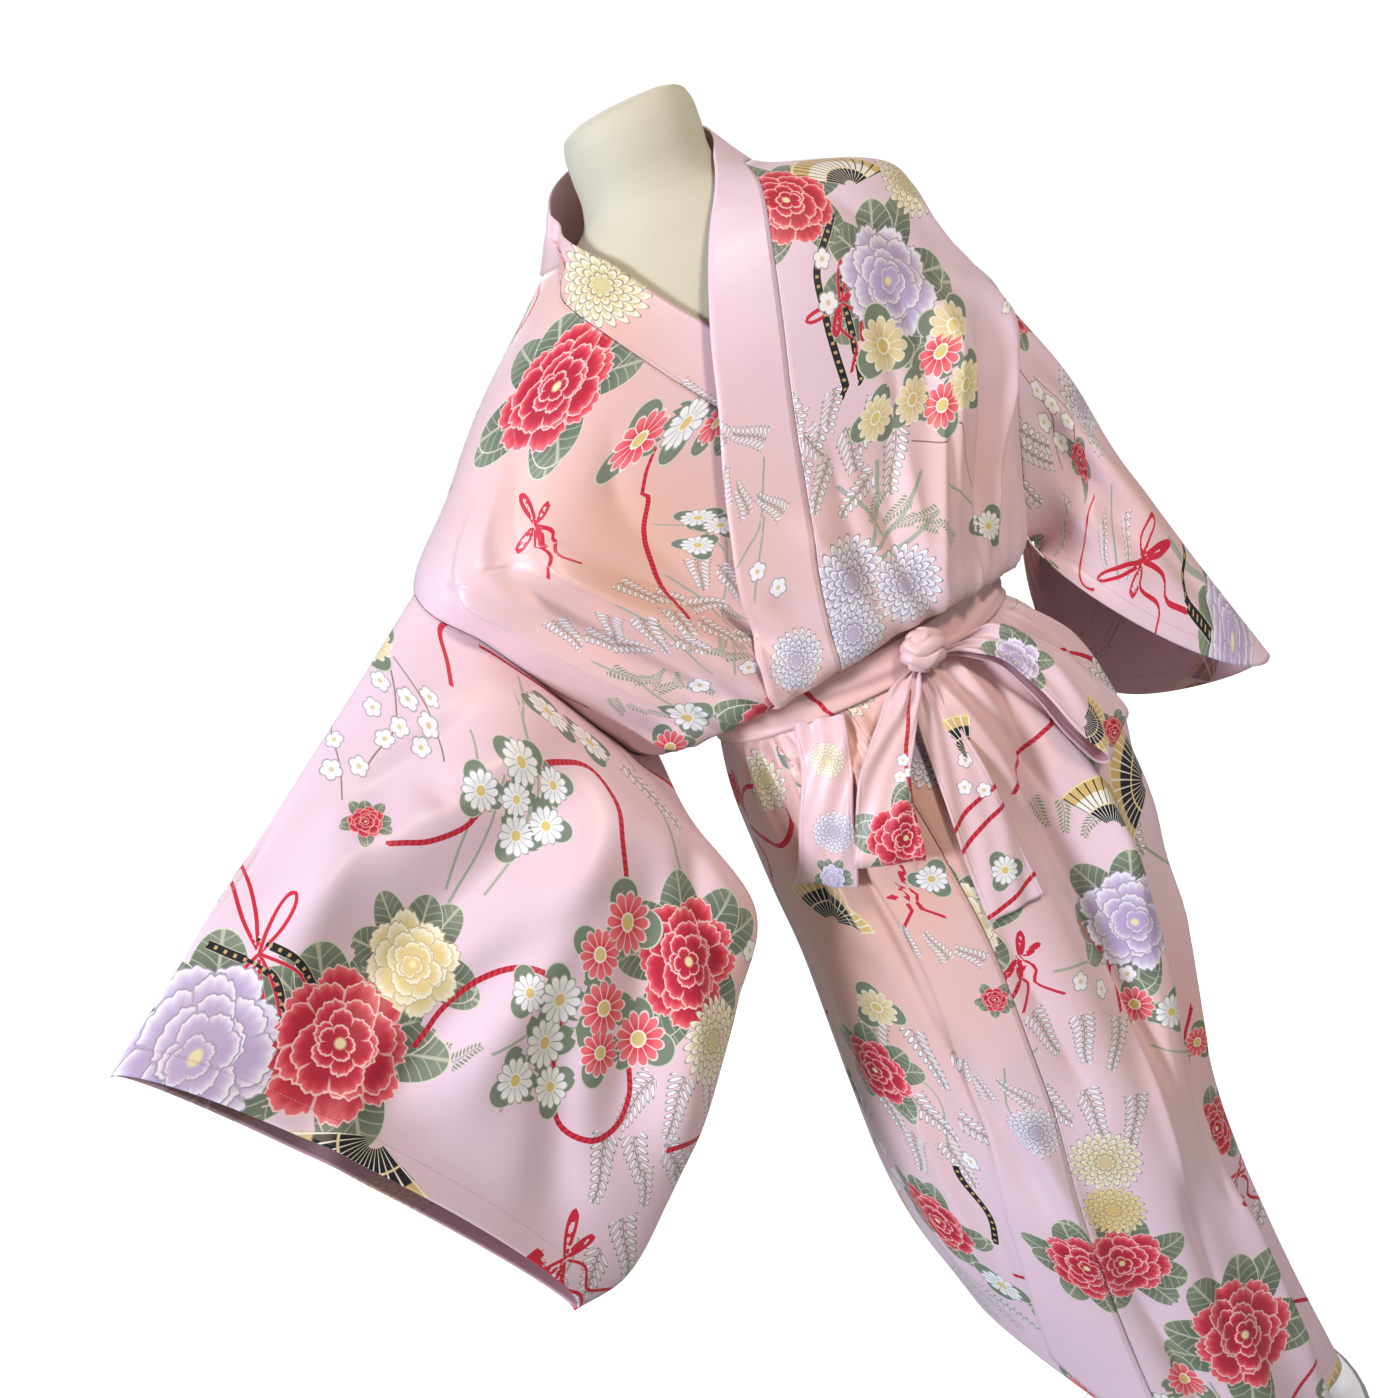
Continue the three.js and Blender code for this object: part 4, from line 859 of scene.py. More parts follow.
    # daisies
    x, y, tint = attribute(tree, "print_daisy")
    radius, angle = polar(x, y)
    leaf = petals(radius, angle, 3, 1.5, 0.6, 0.9, 1.3)
    colour = mixColour(tree, leaf.ramp(-0.02, 0.02), colour, (0.2, 0.25, 0.18))
    colour = mixColour(tree, leaf.absolute().ramp(0.05, 0.02), colour, (0.66, 0.66, 0.54))
    ring = petals(radius, angle, 12, 1.0, 0.3, 0.0, 0.6)
    lobe = (angle * 6.0).sine().absolute()
    base = colourBy(tree, tint, [(0.72, 0.04, 0.07), (0.8, 0.84, 0.82), ink["cream"], (0.7, 0.55, 0.24)])
    pale = colourBy(tree, tint, [(0.88, 0.18, 0.2), ink["white"], ink["creamPale"], (0.84, 0.74, 0.45)])
    line = colourBy(tree, tint, [(0.97, 0.8, 0.76), (0.3, 0.36, 0.32), ink["brown"], (0.96, 0.92, 0.75)])
    fill = mixColour(tree, radius.ramp(0.2, 0.9), base, pale)
    colour = mixColour(tree, ring.ramp(-0.015, 0.02), colour, fill)
    outline = ring.absolute().ramp(0.06, 0.025).most(lobe.ramp(0.3, 0.12) * ring.ramp(0.0, 0.02) * radius.ramp(0.25, 0.3))
    colour = mixColour(tree, outline * 0.85, colour, line)
    colour = mixColour(tree, radius.ramp(0.3, 0.26), colour, (0.75, 0.6, 0.22))
    colour = mixColour(tree, (radius - 0.28).absolute().ramp(0.05, 0.02), colour, ink["creamPale"])

    # plum blossoms
    x, y, tint = attribute(tree, "print_plum")
    radius, angle = polar(x, y)
    ring = petals(radius, angle, 5, 1.0, 0.32, 0.0, 0.6)
    colour = mixColour(tree, ring.ramp(-0.02, 0.03), colour, ink["white"])
    colour = mixColour(tree, ring.absolute().ramp(0.1, 0.04) * 0.8, colour, (0.3, 0.3, 0.34))
    colour = mixColour(tree, radius.ramp(0.28, 0.2), colour, (0.72, 0.62, 0.35))
    tree.links.new(colour, end.inputs[0])
    return tree


clothPrint = makePrint()
satin = {
    "pink": (0.84, 0.65, 0.75),
    # peach: the colour of the painted warm light and shade, and also the belt's and knot's plain warm tint
    "peachTintAndShade": (0.82, 0.5, 0.4),
    "roughness": 0.4,
    "weave": 0.06,
    "wrinkle": 0.25,
}


def makeSatin(name, inside):
    mat = bpy.data.materials.new(name)
    mat.use_nodes = True
    tree = mat.node_tree
    shader = tree.nodes["Principled BSDF"]
    group = tree.nodes.new("ShaderNodeGroup")
    group.node_tree = clothPrint
    coords = tree.nodes.new("ShaderNodeTexCoord")
    warmTintAndShade = attribute(tree, "warmTintAndShade")[0]
    wide = tree.nodes.new("ShaderNodeTexNoise")
    wide.inputs["Scale"].default_value = 5
    tree.links.new(coords.outputs["Object"], wide.inputs["Vector"])
    # painted warm light and shade: the stored peach amount turns the pink ground towards peach, with random variation
    # from noise
    warm = (warmTintAndShade + (Value(tree, wide.outputs[0]) - 0.5) * 0.3).math("ADD", 0.0, clamp=True)
    ground = mixColour(tree, warm, satin["pink"], satin["peachTintAndShade"])
    tree.links.new(ground, group.inputs[0])
    colour = group.outputs[0]
    distance, along, _ = attribute(tree, "sew")
    dash = ((along * 2.1).sine()).ramp(-0.5, 0.1)
    stitch = distance.absolute().ramp(0.55, 0.3) * dash
    colour = mixColour(tree, stitch * 0.55, colour, (0.62, 0.4, 0.44))
    if inside:
        colour = mixColour(tree, 0.62, colour, (0.66, 0.34, 0.38))
    tree.links.new(colour, shader.inputs["Base Color"])
    shader.inputs["Roughness"].default_value = satin["roughness"] + (0.15 if inside else 0)
    shader.inputs["Specular IOR Level"].default_value = 0.45
    shader.inputs["Sheen Weight"].default_value = 0.25
    shader.inputs["Sheen Roughness"].default_value = 0.4
    fine = tree.nodes.new("ShaderNodeTexNoise")
    fine.inputs["Scale"].default_value = 900
    fine.inputs["Detail"].default_value = 1
    tree.links.new(coords.outputs["Object"], fine.inputs["Vector"])
    wrinkle = tree.nodes.new("ShaderNodeTexNoise")
    wrinkle.inputs["Scale"].default_value = 26
    wrinkle.inputs["Detail"].default_value = 3
    wrinkle.inputs["Distortion"].default_value = 0.8
    tree.links.new(coords.outputs["Object"], wrinkle.inputs["Vector"])
    pucker = ((along * 0.42).sine() * 0.5 + 0.5) * distance.absolute().ramp(7.0, 0.0)
    groove = distance.absolute().ramp(1.4, 0.2)
    height = Value(tree, fine.outputs[0]) * satin["weave"] + Value(tree, wrinkle.outputs[0]) * satin["wrinkle"]
    height = height + pucker * 0.12 - groove * 0.35 + stitch * 0.25
    bump = tree.nodes.new("ShaderNodeBump")
    bump.inputs["Strength"].default_value = 0.55
    bump.inputs["Distance"].default_value = 0.0016
    tree.links.new(height.socket, bump.inputs["Height"])
    tree.links.new(bump.outputs[0], shader.inputs["Normal"])
    return mat


satinOut = makeSatin("satin_face", False)
satinIn = makeSatin("satin_reverse", True)
print("print and satin made")


def dress(obj, nodes, area):
    obj.data.materials.append(satinOut)
    obj.data.materials.append(satinIn)
    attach(obj, "root")
    if nodes:
        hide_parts(*nodes)
    size = obj.data
    total = sum(p.area for p in size.polygons) / 2
    print(obj.name, "cloth area", round(total, 3), "stated", area, "faces", len(size.polygons))


def paintedWarmShadeAt(grid):
    # painted light and shade: soft warm peach areas where warm light and shade fall, on the chest on the wearer's
    # right, the lower sleeve and the shaded skirt
    x, y, z = grid[..., 0], grid[..., 1], grid[..., 2]
    spots = [(-170, 1200, 120, 1.0), (-105, 1375, 50, 0.7), (-330, 1050, 70, 0.2), (-170, 760, 150, 0.9),
             (20, 1120, 70, 0.4), (-60, 900, 80, 0.9), (90, 560, 90, 0.6), (90, 900, 80, 0.5),
             (130, 1120, 60, 0.5), (300, 1000, 70, 0.6)]
    total = sum(a * np.exp(-(((x - sx) / r) ** 2 + ((z - sz) / (r * 1.3)) ** 2)) for sx, sz, r, a in spots)
    return np.clip(total, 0, 1)[..., None]


# ---------------------------------------------------------------- back and fronts
panels = {"columns": 150, "upper": 110, "lower": 150}
motifs = {
    "under": [
        ("peony", 0, -164, 1334, 55, 0.3), ("daisy", 0, -127, 1268, 25, 0.1), ("daisy", 1, -86, 1263, 22, 0.8),
        ("daisy", 0, -62, 1252, 17, 0.3), ("wisteria", 1, -227, 1135, 34, 0.2), ("wisteria", 1, -190, 1120, 40, -0.4),
        ("wisteria", 1, -160, 1140, 36, 0.5), ("wisteria", 1, -140, 1100, 40, 0.0), ("wisteria", 1, -110, 1130, 34, -0.2),
        ("daisy", 0, -210, 1018, 16, 0.0), ("plum", 1, -170, 1062, 9, 0.4), ("plum", 1, -130, 1060, 9, 0.4),
        ("wisteria", 0, -205, 1085, 26, 0.7), ("wisteria", 0, -186, 1072, 24, -0.3), ("wisteria", 0, -150, 1086, 26, 0.2),
        ("wisteria", 0, -128, 1078, 24, -0.6), ("wisteria", 0, -222, 1062, 22, 0.1), ("wisteria", 0, -104, 1092, 22, 0.5),
        ("daisy", 1, -112, 1190, 13, 0.2), ("daisy", 1, -98, 1176, 12, 0.8), ("daisy", 1, -122, 1170, 12, 0.5),
        ("plain", 0, -262, 1190, 80, 0), ("plain", 0, -200, 1200, 60, 0), ("plain", 0, -160, 1190, 30, 0), ("fan", 0, -150, 800, 46, 1.2),
        ("mum", 2, -138, 942, 30, 0.1), ("peony", 0, -174, 648, 34, 0.7), ("wisteria", 1, -133, 651, 50, 0.2),
        ("wisteria", 1, -150, 590, 46, 0.6), ("daisy", 3, -150, 710, 18, 0.2), ("plain", 0, -120, 740, 30, 0),
        ("wisteria", 1, -175, 560, 44, -0.3), ("peony", 0, -185, 480, 36, 1.7), ("plum", 1, -140, 540, 9, 0.1),
    ],
    "over": [
        ("peony", 0, 78, 1386, 42, 1.0), ("fan", 1, 140, 1372, 50, 1.9), ("peony", 1, 128, 1290, 50, 0.2),
        ("daisy", 3, 97, 1245, 24, 0.1), ("daisy", 0, 144, 1218, 22, 0.5), ("daisy", 3, 165, 1232, 22, 0.9),
        ("daisy", 3, 100, 1194, 19, 0.1), ("daisy", 0, 122, 1178, 19, 0.8), ("daisy", 3, 60, 1196, 18, 0.3),
        ("daisy", 3, 150, 1184, 20, 0.2), ("wisteria", 1, 6, 1205, 46, 0.1), ("wisteria", 1, 28, 1180, 50, -0.4),
        ("wisteria", 1, -8, 1170, 44, 0.4), ("mum", 1, -22, 1087, 38, 0.2), ("mum", 1, -40, 1045, 32, 0.9),
        ("mum", 1, 22, 1060, 34, 0.5), ("wisteria", 0, 44, 1118, 26, 1.1), ("wisteria", 0, 60, 1096, 24, 1.9),
        ("wisteria", 1, 22, 1215, 44, -0.1), ("daisy", 1, 110, 1075, 12, 0.2), ("daisy", 1, 124, 1062, 12, 0.7),
        ("plain", 0, 85, 1140, 44, 0), ("plain", 0, 140, 1120, 40, 0), ("peony", 1, 82, 687, 48, 0.3),
        ("fan", 1, 101, 775, 50, 2.2), ("daisy", 0, 55, 609, 18, 0.1), ("daisy", 1, 80, 590, 17, 0.8),
        ("plain", 0, 20, 740, 46, 0), ("plain", 0, 10, 850, 40, 0), ("plum", 1, 60, 640, 9, 0.2),
        ("wisteria", 1, -12, 622, 44, 0.1), ("wisteria", 1, -31, 550, 46, -0.2), ("mum", 2, -40, 500, 34, 0.5),
        ("peony", 0, 96, 422, 30, 0.9), ("plain", 0, 40, 480, 44, 0), ("peony", 0, -62, 390, 44, 2.0), ("fan", 0, 10, 900, 40, 0.9), ("mum", 1, -28, 920, 34, 0.4), ("wisteria", 0, 70, 800, 28, 0.3),
        ("mum", 3, -50, 448, 30, 0.1), ("daisy", 0, 110, 519, 14, 0.4), ("plain", 0, 80, 540, 34, 0),
    ],
    "right": [
        ("peony", 0, -560, 977, 58, 0.4), ("peony", 2, -486, 992, 40, 1.3), ("peony", 1, -650, 1030, 58, 0.8),
        ("fan", 0, -570, 905, 66, -2.0), ("wisteria", 0, -520, 940, 26, 0.8), ("wisteria", 0, -500, 930, 26, 1.5), ("peony", 0, -292, 873, 48, 1.0), ("daisy", 0, -321, 927, 24, 0.2),
        ("daisy", 0, -354, 920, 20, 0.9), ("daisy", 0, -372, 880, 22, 0.4), ("daisy", 0, -359, 838, 22, 0.1),
        ("daisy", 0, -392, 850, 19, 0.7), ("daisy", 1, -400, 909, 20, 0.2), ("daisy", 1, -427, 885, 20, 0.6),
        ("daisy", 1, -461, 876, 18, 0.1), ("daisy", 1, -440, 850, 16, 0.9), ("daisy", 1, -418, 930, 15, 0.3),
        ("mum", 2, -305, 802, 34, 0.4), ("wisteria", 1, -409, 748, 46, 0.2), ("wisteria", 1, -360, 776, 44, -0.3),
        ("wisteria", 1, -385, 720, 40, 0.5), ("daisy", 1, -374, 1080, 17, 0.2), ("daisy", 1, -334, 1083, 18, 0.8),
        ("daisy", 1, -366, 1031, 17, 0.3), ("daisy", 1, -341, 1026, 16, 0.1), ("daisy", 1, -352, 1058, 14, 0.7),
        ("daisy", 1, -320, 1052, 14, 0.5), ("plum", 1, -400, 1186, 10, 0.2), ("plum", 1, -416, 1172, 9, 0.8),
        ("plum", 1, -388, 1165, 10, 0.4), ("plum", 1, -405, 1150, 9, 0.1), ("plum", 1, -384, 1140, 10, 0.9),
        ("plum", 1, -420, 1148, 9, 0.5), ("plum", 1, -398, 1128, 9, 0.3), ("plum", 1, -455, 1165, 9, 0.6),
        ("plum", 1, -468, 1148, 10, 0.2), ("plum", 1, -448, 1140, 9, 0.7), ("plum", 1, -372, 1158, 9, 0.7),
        ("peony", 0, -464, 1105, 15, 0.1), ("plain", 0, -510, 1080, 56, 0), ("plain", 0, -430, 1010, 44, 0),
        ("plain", 0, -300, 990, 40, 0), ("plain", 0, -470, 800, 50, 0), ("plain", 0, -420, 1085, 30, 0),
        ("plain", 0, -500, 870, 36, 0), ("plain", 0, -350, 980, 30, 0), ("plain", 0, -590, 1060, 34, 0),
        ("plain", 0, -290, 1050, 30, 0),
    ],
    "left": [
        ("peony", 0, 256, 1061, 13, 0.1), ("plum", 1, 242, 1138, 9, 0.2), ("plum", 1, 250, 1120, 9, 0.8),
        ("plum", 1, 238, 1108, 9, 0.4), ("plum", 1, 256, 1100, 8, 0.1), ("plum", 1, 246, 1084, 9, 0.9),
        ("peony", 1, 310, 845, 42, 0.4), ("plain", 0, 270, 1010, 40, 0), ("plain", 0, 230, 940, 40, 0),
        ("peony", 0, 250, 1215, 26, 0.3), ("wisteria", 1, 236, 985, 30, 0.4), ("plain", 0, 280, 900, 30, 0),
    ],
    "band": [
        ("mum", 2, -93, 1390, 36, 0.3), ("plain", 0, -30, 1310, 40, 0), ("wisteria", 1, -75, 1190, 30, 0.1),
        ("wisteria", 1, -70, 1250, 34, 0.4), ("plum", 1, -90, 1130, 8, 0.2), ("plum", 1, -80, 1110, 8, 0.6),
        ("mum", 1, -92, 1046, 26, 0.4), ("plain", 0, -10, 1370, 44, 0), ("plain", 0, -60, 1215, 20, 0),
        ("plain", 0, 40, 1400, 30, 0), ("plain", 0, -104, 900, 40, 0), ("daisy", 1, -70, 820, 14, 0.2),
        ("wisteria", 1, -90, 760, 30, 0.2), ("peony", 0, -67, 694, 12, 0.5), ("wisteria", 1, -107, 620, 34, 0.1),
        ("mum", 1, -85, 560, 26, 0.7), ("peony", 0, -94, 405, 40, 0.2), ("plain", 0, -80, 650, 14, 0),
    ],
}
lines = {
    "under": {
        "cords": [(0, 2.0, [(-130, 1246), (-142, 1225), (-156, 1200), (-163, 1165), (-158, 1130)])]
        + bow(-232, 1244, 26, 1.0),
        "stems": [(2, 1.2, [(-165, 1080), (-178, 1115), (-200, 1150)]), (2, 1.2, [(-120, 1075), (-130, 1110), (-150, 1150)]),
                  (2, 1.1, [(-140, 1070), (-120, 1120), (-100, 1160)]), (2, 1.2, [(-150, 560), (-140, 610), (-160, 660)]),
                  (2, 1.1, [(-200, 1060), (-215, 1090), (-232, 1110)]), (2, 1.1, [(-105, 1160), (-118, 1185), (-135, 1195)])],
    },
    "over": {
        "cords": [(3, 4.2, [(98, 1350), (70, 1325), (58, 1290), (48, 1235)]), (3, 4.0, [(120, 1330), (88, 1310), (74, 1270), (66, 1240)]),
                  (0, 2.0, [(112, 545), (100, 530), (92, 500), (86, 460)]), (0, 2.2, [(40, 700), (52, 660), (40, 628)])]
        + bow(76, 1294, 36, 0.5) + bow(-30, 716, 26, 0.8) + bow(100, 360, 30, 0.2),
        "stems": [(2, 2.4, [(20, 1100), (45, 1112), (66, 1130)]), (2, 2.4, [(15, 1108), (32, 1130), (40, 1150)]),
                  (2, 2.4, [(10, 1090), (36, 1090), (60, 1098)]), (2, 2.2, [(24, 1104), (20, 1130), (10, 1150)]),
                  (1, 0.7, [(90, 1160), (110, 1150), (130, 1158), (120, 1120)]), (2, 1.2, [(100, 1110), (112, 1080), (130, 1064)]),
                  (2, 1.4, [(0, 690), (24, 680), (44, 660)]), (2, 1.4, [(60, 560), (80, 540), (92, 520)])],
    },
    "right": {
        "cords": [(0, 2.5, [(-446, 1078), (-428, 1068), (-400, 1062), (-383, 1066), (-355, 1072), (-330, 1074), (-306, 1065),
                            (-286, 1048), (-281, 1018), (-293, 988), (-309, 950)]),
                  (0, 2.5, [(-505, 944), (-481, 953), (-449, 956), (-415, 948), (-396, 925), (-404, 895), (-430, 862),
                            (-448, 822), (-434, 794), (-410, 788), (-388, 802), (-374, 828)]),
                  (3, 4.2, [(-600, 1080), (-578, 1050), (-584, 1020), (-592, 985)]),
                  (3, 4.0, [(-574, 1074), (-556, 1044), (-558, 1005)]),
                  (0, 2.3, [(-330, 748), (-350, 735), (-372, 742)])]
        + bow(-578, 1066, 62, 0.9) + bow(-496, 728, 36, 0.3) + bow(-300, 845, 24, 0.9),
        "stems": [(1, 0.9, [(-384, 1200), (-396, 1170), (-410, 1150), (-440, 1138)]), (1, 0.9, [(-380, 1190), (-378, 1160), (-384, 1120)]),
                  (2, 1.5, [(-440, 1040), (-410, 1050), (-380, 1078), (-360, 1110)]), (2, 1.5, [(-430, 1020), (-395, 1040), (-362, 1070)]),
                  (2, 1.4, [(-400, 1010), (-370, 1022), (-345, 1045)]), (2, 1.4, [(-310, 1120), (-325, 1085), (-350, 1050)]),
                  (2, 1.4, [(-470, 870), (-440, 890), (-410, 920)]), (2, 1.4, [(-300, 1130), (-318, 1100), (-330, 1060)]),
                  (2, 1.4, [(-455, 905), (-430, 900), (-400, 880)]), (1, 0.8, [(-448, 1176), (-458, 1156), (-466, 1136)])],
    },
    "left": {
        "cords": bow(262, 955, 44, 0.4) + [(3, 3.2, [(300, 925), (285, 900), (290, 870)])],
        "stems": [(1, 0.9, [(236, 1150), (246, 1110), (240, 1080)]), (2, 2.0, [(238, 965), (250, 990), (262, 1010)]),
                  (2, 2.0, [(300, 950), (306, 925), (318, 905)]), (1, 0.8, [(250, 1140), (262, 1110), (256, 1085)])],
    },
    "band": {
        "cords": bow(-92, 822, 20, 0.9),
        "stems": [(2, 1.2, [(-90, 1150), (-70, 1165), (-50, 1200)]), (2, 1.2, [(-96, 1120), (-80, 1145), (-64, 1170)]),
                  (2, 1.2, [(-88, 620), (-96, 590), (-90, 560)])],
    },
}


def bodyPanel(start, end, topAt, liftAt, shift, columns, seamSide):
    share = np.linspace(0, 1, columns)[None, :]
    top0 = topAt(start(1420.0) + (end(1420.0) - start(1420.0)) * share)
    z = heights(top0, hemAt(start(300.0) + (end(300.0) - start(300.0)) * share), panels["upper"], panels["lower"])
    deg = start(z) + (end(z) - start(z)) * share
    waist = robe["waist"]
    z = np.where(z < waist, waist - (waist - z) / (waist - z[-1:]) * (waist - hemAt(deg)), z)
    deg = start(z) + (end(z) - start(z)) * share
    grid = layerPoint(z, deg, liftAt(deg), shift)
    # stitching above the hem
    toHem = np.concatenate([np.cumsum(np.linalg.norm(np.diff(grid[::-1], axis=0), axis=-1), 0)[::-1], np.zeros((1, columns))])
    across = np.concatenate([np.zeros((len(z), 1)), np.cumsum(np.linalg.norm(np.diff(grid, axis=1), axis=-1), 1)], 1)
    edge = np.minimum(across, across[:, -1:] - across)
    sewHem = np.stack([toHem - 20, across], -1)
    rowsDown = np.broadcast_to(-z, across.shape)
    sewSide = np.stack([edge - 2.2, rowsDown], -1)
    useHem = (np.abs(sewHem[..., 0]) < np.abs(sewSide[..., 0]))[..., None]
    return grid, np.where(useHem, sewHem, sewSide)


axisOf = lambda grid: grid * np.array([0.0, 0.0, 1.0])

grid, sew = bodyPanel(
    lambda z: -holeAngle(z, "left", False), lambda z: -180 + holeAngle(z, "right", False),
    neckSeamAt, lambda deg: np.zeros_like(deg), robe["seamGap"] / 2, 170, "both",
)
uv = clothUv(grid, 85, False, (300, 40))
back, corners, _ = sheetMesh("robe_back_cloth", grid, robe["wall"], uv, axisOf(grid), False, sew, paintedWarmShadeAt(grid) * 0.3)
paintMotifs(back, corners, grid, uv, [], {}, True)
dress(back, ["robe_back"], 0.71)

grid, sew = bodyPanel(
    lambda z: holeAngle(z, "left", True), lambda z: angleAtX(z, over["seam"](z)),
    lambda deg: np.full_like(deg, robe["neckLeft"]), overLift, -robe["seamGap"] / 2, 130, "both",
)
uv = clothUv(grid, 100, False, (140, 300))
frontLeft, corners, _ = sheetMesh("robe_front_left_cloth", grid, robe["wall"], uv, axisOf(grid), False, sew, paintedWarmShadeAt(grid))
paintMotifs(frontLeft, corners, grid, uv, motifs["over"], lines["over"], True)
dress(frontLeft, ["robe_front_left"], 0.44)

grid, sew = bodyPanel(
    lambda z: 180 - holeAngle(z, "right", True), lambda z: angleAtX(z, under["seam"](z)),
    lambda deg: np.full_like(deg, robe["neckRight"]), underLift, -robe["seamGap"] / 2, 120, "both",
)
uv = clothUv(grid, 30, False, (420, 520))
frontRight, corners, _ = sheetMesh("robe_front_right_cloth", grid, robe["wall"], uv, axisOf(grid), False, sew, paintedWarmShadeAt(grid))
paintMotifs(frontRight, corners, grid, uv, motifs["under"], lines["under"], True)
dress(frontRight, ["robe_front_right"], 0.38)
print("panels made")


# ---------------------------------------------------------------- neckband
band = {"columns": 14, "rows": 420}


def denseRows(grid, count):
    # smooth curves through a grid's rows, evenly spaced along their mean length
    step = np.linalg.norm(np.diff(grid, axis=0), axis=-1).mean(1)
    t = np.concatenate([[0], np.cumsum(np.maximum(step, 1e-6))])
    slope = np.gradient(grid, t, axis=0)
    at = np.linspace(0, t[-1], count)
    k = np.clip(np.searchsorted(t, at, side="right") - 1, 0, len(t) - 2)
    h = (t[k + 1] - t[k])[:, None, None]
    s = ((at - t[k]) / (t[k + 1] - t[k]))[:, None, None]
    return ((2 * s ** 3 - 3 * s ** 2 + 1) * grid[k] + (s ** 3 - 2 * s ** 2 + s) * h * slope[k]
            + (3 * s ** 2 - 2 * s ** 3) * grid[k + 1] + (s ** 3 - s ** 2) * h * slope[k + 1])


def bandRows(table, top, liftAt, count):
    share = np.linspace(0, 1, band["columns"])[None, :]
    nominal = np.concatenate([np.linspace(top, 979, count), np.linspace(979, 78, count)[1:]])[:, None]
    seam, edge = table["seam"](nominal), table["edge"](nominal)
    x = seam + np.sign(edge - seam) * 0.6 + (edge - seam) * share
    hem = hemAt(angleAtX(nominal, x))
    z = np.where(nominal > 979, nominal, 979 - (979 - nominal) * (979 - hem) / (979 - 78))
    x = table["seam"](z) + np.sign(table["edge"](z) - table["seam"](z)) * 0.6 + (table["edge"](z) - table["seam"](z)) * share
    height = z + table["rise"](z) * share
    deg = angleAtX(height, x)
    return layerPoint(height, deg, liftAt(deg), -0.15)


def collarGrid():
    share = np.linspace(0, 1, band["columns"])[:, None]
    rows = []
    for angle, x, y, z in collarRows:
        height = robe["neckLeft"] if angle > 0 else float(neckSeamAt(np.array(float(angle))))
        seam = layerPoint(np.array(float(height)), np.array(float(angle)), 0.0, -0.15 if angle > 0 else 0.15, False)
        seam[2] += 0.6
        rows.append(seam[None] * (1 - share) + np.array([x, y, z], float)[None] * share)
    return np.array(rows)


coarse = np.concatenate([
    bandRows(over, robe["neckLeft"], overLift, 46)[::-1], collarGrid(),
    bandRows(under, robe["neckRight"], underLift, 46),
])
grid = denseRows(coarse, band["rows"])
# slight waves along the free edge, none at the seam
share = np.linspace(0, 1, band["columns"])[None, :]
wave = np.sin(np.linspace(0, 60, band["rows"]))[:, None]
grid = grid + unitNormals(grid, False) * (0.5 * wave * share)[..., None]
uv = clothUv(grid, 0, False, (80, 100), 0.0)
width = np.linspace(0, 60, band["columns"])
sew = np.stack([np.broadcast_to(width - 3.0, uv.shape[:2]), uv[..., 1]], -1)
inside = grid.copy()
inside[..., 0] *= 0.3
inside[..., 1] = 0
neckband, corners, _ = sheetMesh("neckband_cloth", grid, robe["bandWall"], uv, inside, False, sew, paintedWarmShadeAt(grid))
paintMotifs(neckband, corners, grid, uv, motifs["band"], lines["band"], False)
dress(neckband, ["neckband"], 0.21)
print("neckband made")

# ---------------------------------------------------------------- sleeves
rightSleeve = [
    ((-385, -25, 1205), (-224, -70, 935), (16, -42, 8), (-16, 40, -8), 0),
    ((-421, -45, 1187), (-216, -104, 866), (18, -44, 9), (-18, 42, -9), 0),
    ((-476, -76, 1161), (-270, -126, 806), (17, -40, 8), (-18, 42, -9), 0),
    ((-534, -109, 1133), (-335, -142, 747), (15, -36, 7), (-17, 40, -8), 0),
    ((-593, -141, 1105), (-400, -155, 700), (14, -32, 6), (-16, 36, -8), 0),
    ((-651, -174, 1076), (-466, -170, 668), (16, -28, 4), (-10, 33, -8), 0),
    ((-706, -205, 1050), (-510, -186, 678), (36, -22, 4), (6, 32, -4), 0),
]
leftSleeve = [
    ((281, -18, 1145), (208, -6, 1000), (14, -48, 0), (16, 74, -20), 0),
    ((296, -36, 1062), (204, -12, 990), (4, -44, -5), (14, 92, -50), 0),
    ((312, -54, 978), (198, -20, 996), (-8, -36, -12), (4, 104, -84), 12),
    ((328, -72, 895), (192, -28, 1010), (-18, -30, -18), (-8, 112, -108), 20),
    ((345, -90, 812), (186, -38, 1032), (-28, -26, -26), (-14, 116, -122), 25),
]
# soft creases of the spread sleeve: from x, z, to x, z, half width, depth; front then back
rightCreases = [
    (-300, 1040, -560, 1000, 22, -9), (-290, 1000, -520, 880, 20, 7), (-300, 1090, -600, 1070, 20, 6),
    (-270, 960, -430, 760, 20, -7), (-330, 1130, -620, 1110, 14, -4), (-340, 960, -600, 930, 16, -5),
    (-260, 900, -380, 730, 16, 6), (-450, 1130, -620, 1000, 18, 4), (-400, 900, -500, 740, 18, -5),
    (-240, 960, -290, 820, 14, -6), (-350, 1060, -420, 1100, 10, -3), (-520, 960, -640, 900, 14, 4),
]
leftCreases = [
    (230, 1150, 270, 960, 12, -5), (250, 1120, 300, 930, 10, 4), (225, 1060, 250, 930, 12, 4),
    (240, 1180, 300, 1020, 9, -3), (280, 980, 320, 860, 9, -3),
]


